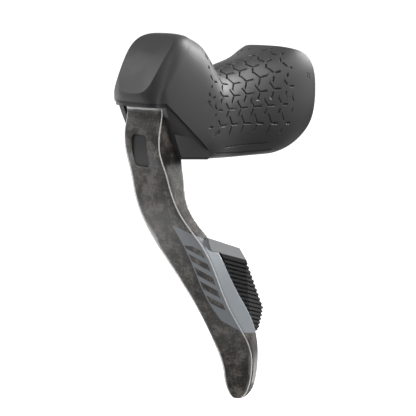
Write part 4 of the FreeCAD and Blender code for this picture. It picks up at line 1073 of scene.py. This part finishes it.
@dataclass
class Studio:
    """A pale floor that curves up far round the part, soft lamps and the camera.

    Lengths are in metres, and the lens and the sensor are in millimetres. The sky has pairs of a height, from 0
    straight below to 1 straight above, and its grey there.
    """

    target: Vector3 = (0.050, 0.006, -0.045)
    azimuth_deg: float = 42.0
    elevation_deg: float = 9.0
    distance: float = 0.85
    lens: float = 158.15
    sensor_width: float = 36.0
    shift: Span = (-0.00306, 0.0175)
    clip: Span = (0.01, 50.0)
    floor_height: float = -0.20
    floor_hole: float = 0.01
    floor_radius: float = 3.0
    cove_radius: float = 1.2
    wall_height: float = 4.0
    flat_rings: int = 16
    cove_rings: int = 24
    spokes: int = 96
    sky: tuple[Span, ...] = ((0.0, 0.40), (0.30, 0.25), (0.5, 0.14), (0.68, 0.18), (0.85, 0.55), (1.0, 0.8))
    lamps: tuple[Lamp, ...] = (
        Lamp("ridge_lamp", (0.76, 0.58, -0.30), 0.8, (0.22, 0.55), 13.0),
        Lamp("panel_lamp", (-0.78, 0.57, -0.02), 0.9, (0.35, 0.30), 3.2),
        Lamp("edge_lamp", (-0.85, -0.15, -0.50), 1.0, (0.60, 1.1), 9.0),
        Lamp("back_lamp", (0.30, 0.12, -1.0), 1.3, (1.4, 1.2), 9.0),
        Lamp("front_lamp", (0.14, -0.45, 0.90), 1.2, (0.42, 1.35), 8.0),
        Lamp("bevel_lamp", (0.45, 0.41, 0.80), 1.0, (0.22, 0.22), 2.5),
    )

    def axes(self) -> tuple[Vector, Vector, Vector]:
        """The camera's right, up and back directions.

        Returns:
            Three unit vectors in the part's frame.
        """
        turn, rise = math.radians(self.azimuth_deg), math.radians(self.elevation_deg)
        back = Vector((math.cos(turn) * math.cos(rise), math.sin(turn) * math.cos(rise), math.sin(rise)))
        right = Vector((-math.sin(turn), math.cos(turn), 0.0))
        return right, back.cross(right), back

    def _floor_points(self) -> np.ndarray:
        """Spin a profile round the part: flat, then a quarter round, then a wall.

        The profile's radius and height are functions of one parameter, and the other parameter is the angle.

        Returns:
            The points, as rings by spokes by X, Y and Z.
        """
        flat = np.linspace(self.floor_hole, self.floor_radius, self.flat_rings)
        bend = np.linspace(0.0, np.pi / 2, self.cove_rings + 1)[1:]
        radius = np.concatenate([flat, self.floor_radius + self.cove_radius * np.sin(bend)])
        height = np.concatenate([np.zeros(self.flat_rings), self.cove_radius * (1 - np.cos(bend))])
        radius = np.append(radius, radius[-1])[:, None]
        height = np.append(height, self.wall_height)[:, None] + self.floor_height
        angle = np.linspace(0.0, 2 * np.pi, self.spokes, endpoint=False)
        level = np.broadcast_to(height, (len(radius), self.spokes))
        return np.stack([radius * np.cos(angle), radius * np.sin(angle), level], axis=-1)

    def _floor_faces(self, rings: int) -> np.ndarray:
        """Corner numbers of the quads between rings of points, with the last spoke joined to the first.

        Args:
            rings: How many rings of points there are.

        Returns:
            Four corner numbers to a quad.
        """
        ring, spoke = np.meshgrid(np.arange(rings - 1) * self.spokes, np.arange(self.spokes), indexing="ij")
        beside = (spoke + 1) % self.spokes
        further = ring + self.spokes
        return np.stack([ring + spoke, ring + beside, further + beside, further + spoke], axis=-1).reshape(-1, 4)

    def build_floor(self) -> None:
        """Make the floor and leave it out of the part's light, reflections and shadows."""
        points = self._floor_points()
        mesh = bpy.data.meshes.new("studio_floor")
        mesh.from_pydata(points.reshape(-1, 3).tolist(), [], self._floor_faces(len(points)).tolist())
        shade_smooth(mesh)
        mesh.update()
        mesh.materials.append(StagePaper("studio_paper").material())
        floor = link_piece(mesh)
        floor.visible_diffuse = False
        floor.visible_glossy = False
        floor.visible_shadow = False

    def add_lamp(self, plan: Lamp) -> None:
        """Add a lamp that faces the part.

        Args:
            plan: Its place, size and power.
        """
        right, up, back = self.axes()
        direction = (right * plan.way[0] + up * plan.way[1] + back * plan.way[2]).normalized()
        data = bpy.data.lights.new(plan.name, "AREA")
        data.shape = "RECTANGLE"
        data.size, data.size_y = plan.size
        data.energy = plan.watts
        lamp = bpy.data.objects.new(plan.name, data)
        lamp.location = Vector(self.target) + direction * plan.distance
        lamp.rotation_mode = "QUATERNION"
        lamp.rotation_quaternion = direction.to_track_quat("Z", "Y")
        bpy.context.scene.collection.objects.link(lamp)

    def build_sky(self) -> None:
        """Make a grey sky that is dim level with the part and brighter above and below it."""
        world = bpy.data.worlds.new("studio_sky")
        bench = Bench(world)
        way = bench.node("ShaderNodeTexCoord", {}, {}, "Generated")
        height = bench.parts_of(way)[2] * 0.5 + 0.5
        glow = bench.ramp(height, [(place, (value,) * 3) for place, value in self.sky])
        shine = bench.node("ShaderNodeBackground", {}, {"Color": glow, "Strength": 1.0})
        bench.node("ShaderNodeOutputWorld", {}, {"Surface": shine}, None)
        bpy.context.scene.world = world

    def build_camera(self) -> None:
        """Set the camera at the photograph's viewing angle."""
        right, up, back = self.axes()
        data = bpy.data.cameras.new("photo_camera")
        data.lens = self.lens
        data.sensor_width = self.sensor_width
        data.shift_x, data.shift_y = self.shift
        data.clip_start, data.clip_end = self.clip
        camera = bpy.data.objects.new("photo_camera", data)
        turn = Matrix((right, up, back)).transposed().to_4x4()
        camera.matrix_world = Matrix.Translation(Vector(self.target) + back * self.distance) @ turn
        bpy.context.scene.collection.objects.link(camera)
        bpy.context.scene.camera = camera

    def build(self) -> None:
        """Build the floor, sky, lamps and camera."""
        self.build_floor()
        self.build_sky()
        for plan in self.lamps:
            self.add_lamp(plan)
        bpy.context.scene.view_settings.view_transform = "Standard"
        self.build_camera()
        LOG.info("studio ready")


@dataclass
class Lever:
    """The whole lever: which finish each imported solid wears, and which solids get a skin of their own."""

    nodes: Mapping[str, bpy.types.Object]
    record: Mapping[str, object]

    def finishes(self) -> dict[str, Finish]:
        """Finish of each of the record's material slots, which it is named for.

        Returns:
            Each slot with its finish.
        """
        bright = (0.72, 0.72, 0.74)
        every = (
            GripRubber("hood_rubber"),
            Moulded("body_composite", (0.011, 0.011, 0.012), 0.48, gloss=0.4),
            FibreLacquer("blade_fibre"),
            Moulded("plug_plastic", (0.013, 0.013, 0.0135), 0.58, gloss=0.35),
            Moulded("paddle_paint", (0.18, 0.183, 0.186), 0.36, grain_per_mm=4.0, grain_depth=0.004, coat=0.25),
            Moulded("paddle_rubber", (0.008, 0.008, 0.009), 0.66, grain_per_mm=3.4, grain_depth=0.012,
                    gloss=0.2),
            WorkedMetal("bright_steel", (0.56, 0.56, 0.58), 0.28, Grain.ALONG_Z),
            WorkedMetal("spring_steel", (0.45, 0.45, 0.46), 0.3),
            WorkedMetal("bare_alloy", bright, 0.34, Grain.ALONG_X),
            WorkedMetal("bush_bronze", (0.60, 0.42, 0.21), 0.36, Grain.ALONG_Y),
            Moulded("seal_rubber", (0.012, 0.012, 0.012), 0.45, grain_per_mm=3.0, grain_depth=0.006),
            Moulded("board_resin", (0.016, 0.075, 0.040), 0.4, grain_per_mm=1.2, grain_depth=0.004, coat=0.2),
            WorkedMetal("cell_steel", bright, 0.22),
            ClearWindow("lens_clear"),
        )
        return {finish.name: finish for finish in every}

    def skins(self) -> tuple[Smoothed, ...]:
        """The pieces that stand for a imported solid, each with its node, its body and its crease angle."""
        return (
            GripHood("hood_cover", "lever_body", crease_deg=17.0),
            BladeSkin("brake_blade", "brake_blade", crease_deg=40.0),
            Smoothed("lever_body", "lever_body"),
            PressedCoil("piston_spring", "lever_body"),
        )

    def slots(self) -> dict[str, str]:
        """Material slot of each node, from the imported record."""
        return {part["node"]: part["material_slot"] for part in self.record["subparts"]}

    def dress(self) -> None:
        """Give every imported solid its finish, then let the skins stand for theirs."""
        made = {slot: finish.material() for slot, finish in self.finishes().items()}
        slots = self.slots()
        for node, piece in self.nodes.items():
            piece.data.materials.clear()
            piece.data.materials.append(made[slots[node]])
            LOG.info("%s wears %s", node, slots[node])
        for skin in self.skins():
            slot = slots[skin.node]
            skin.build(self.nodes[skin.node], made[slot], slot)


def main() -> None:
    """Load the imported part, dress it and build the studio."""
    logging.basicConfig(level=logging.INFO, format="%(name)s: %(message)s")
    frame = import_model()
    Lever(frame["nodes"], frame["record"]).dress()
    Studio().build()


if __name__ == "__main__":
    main()
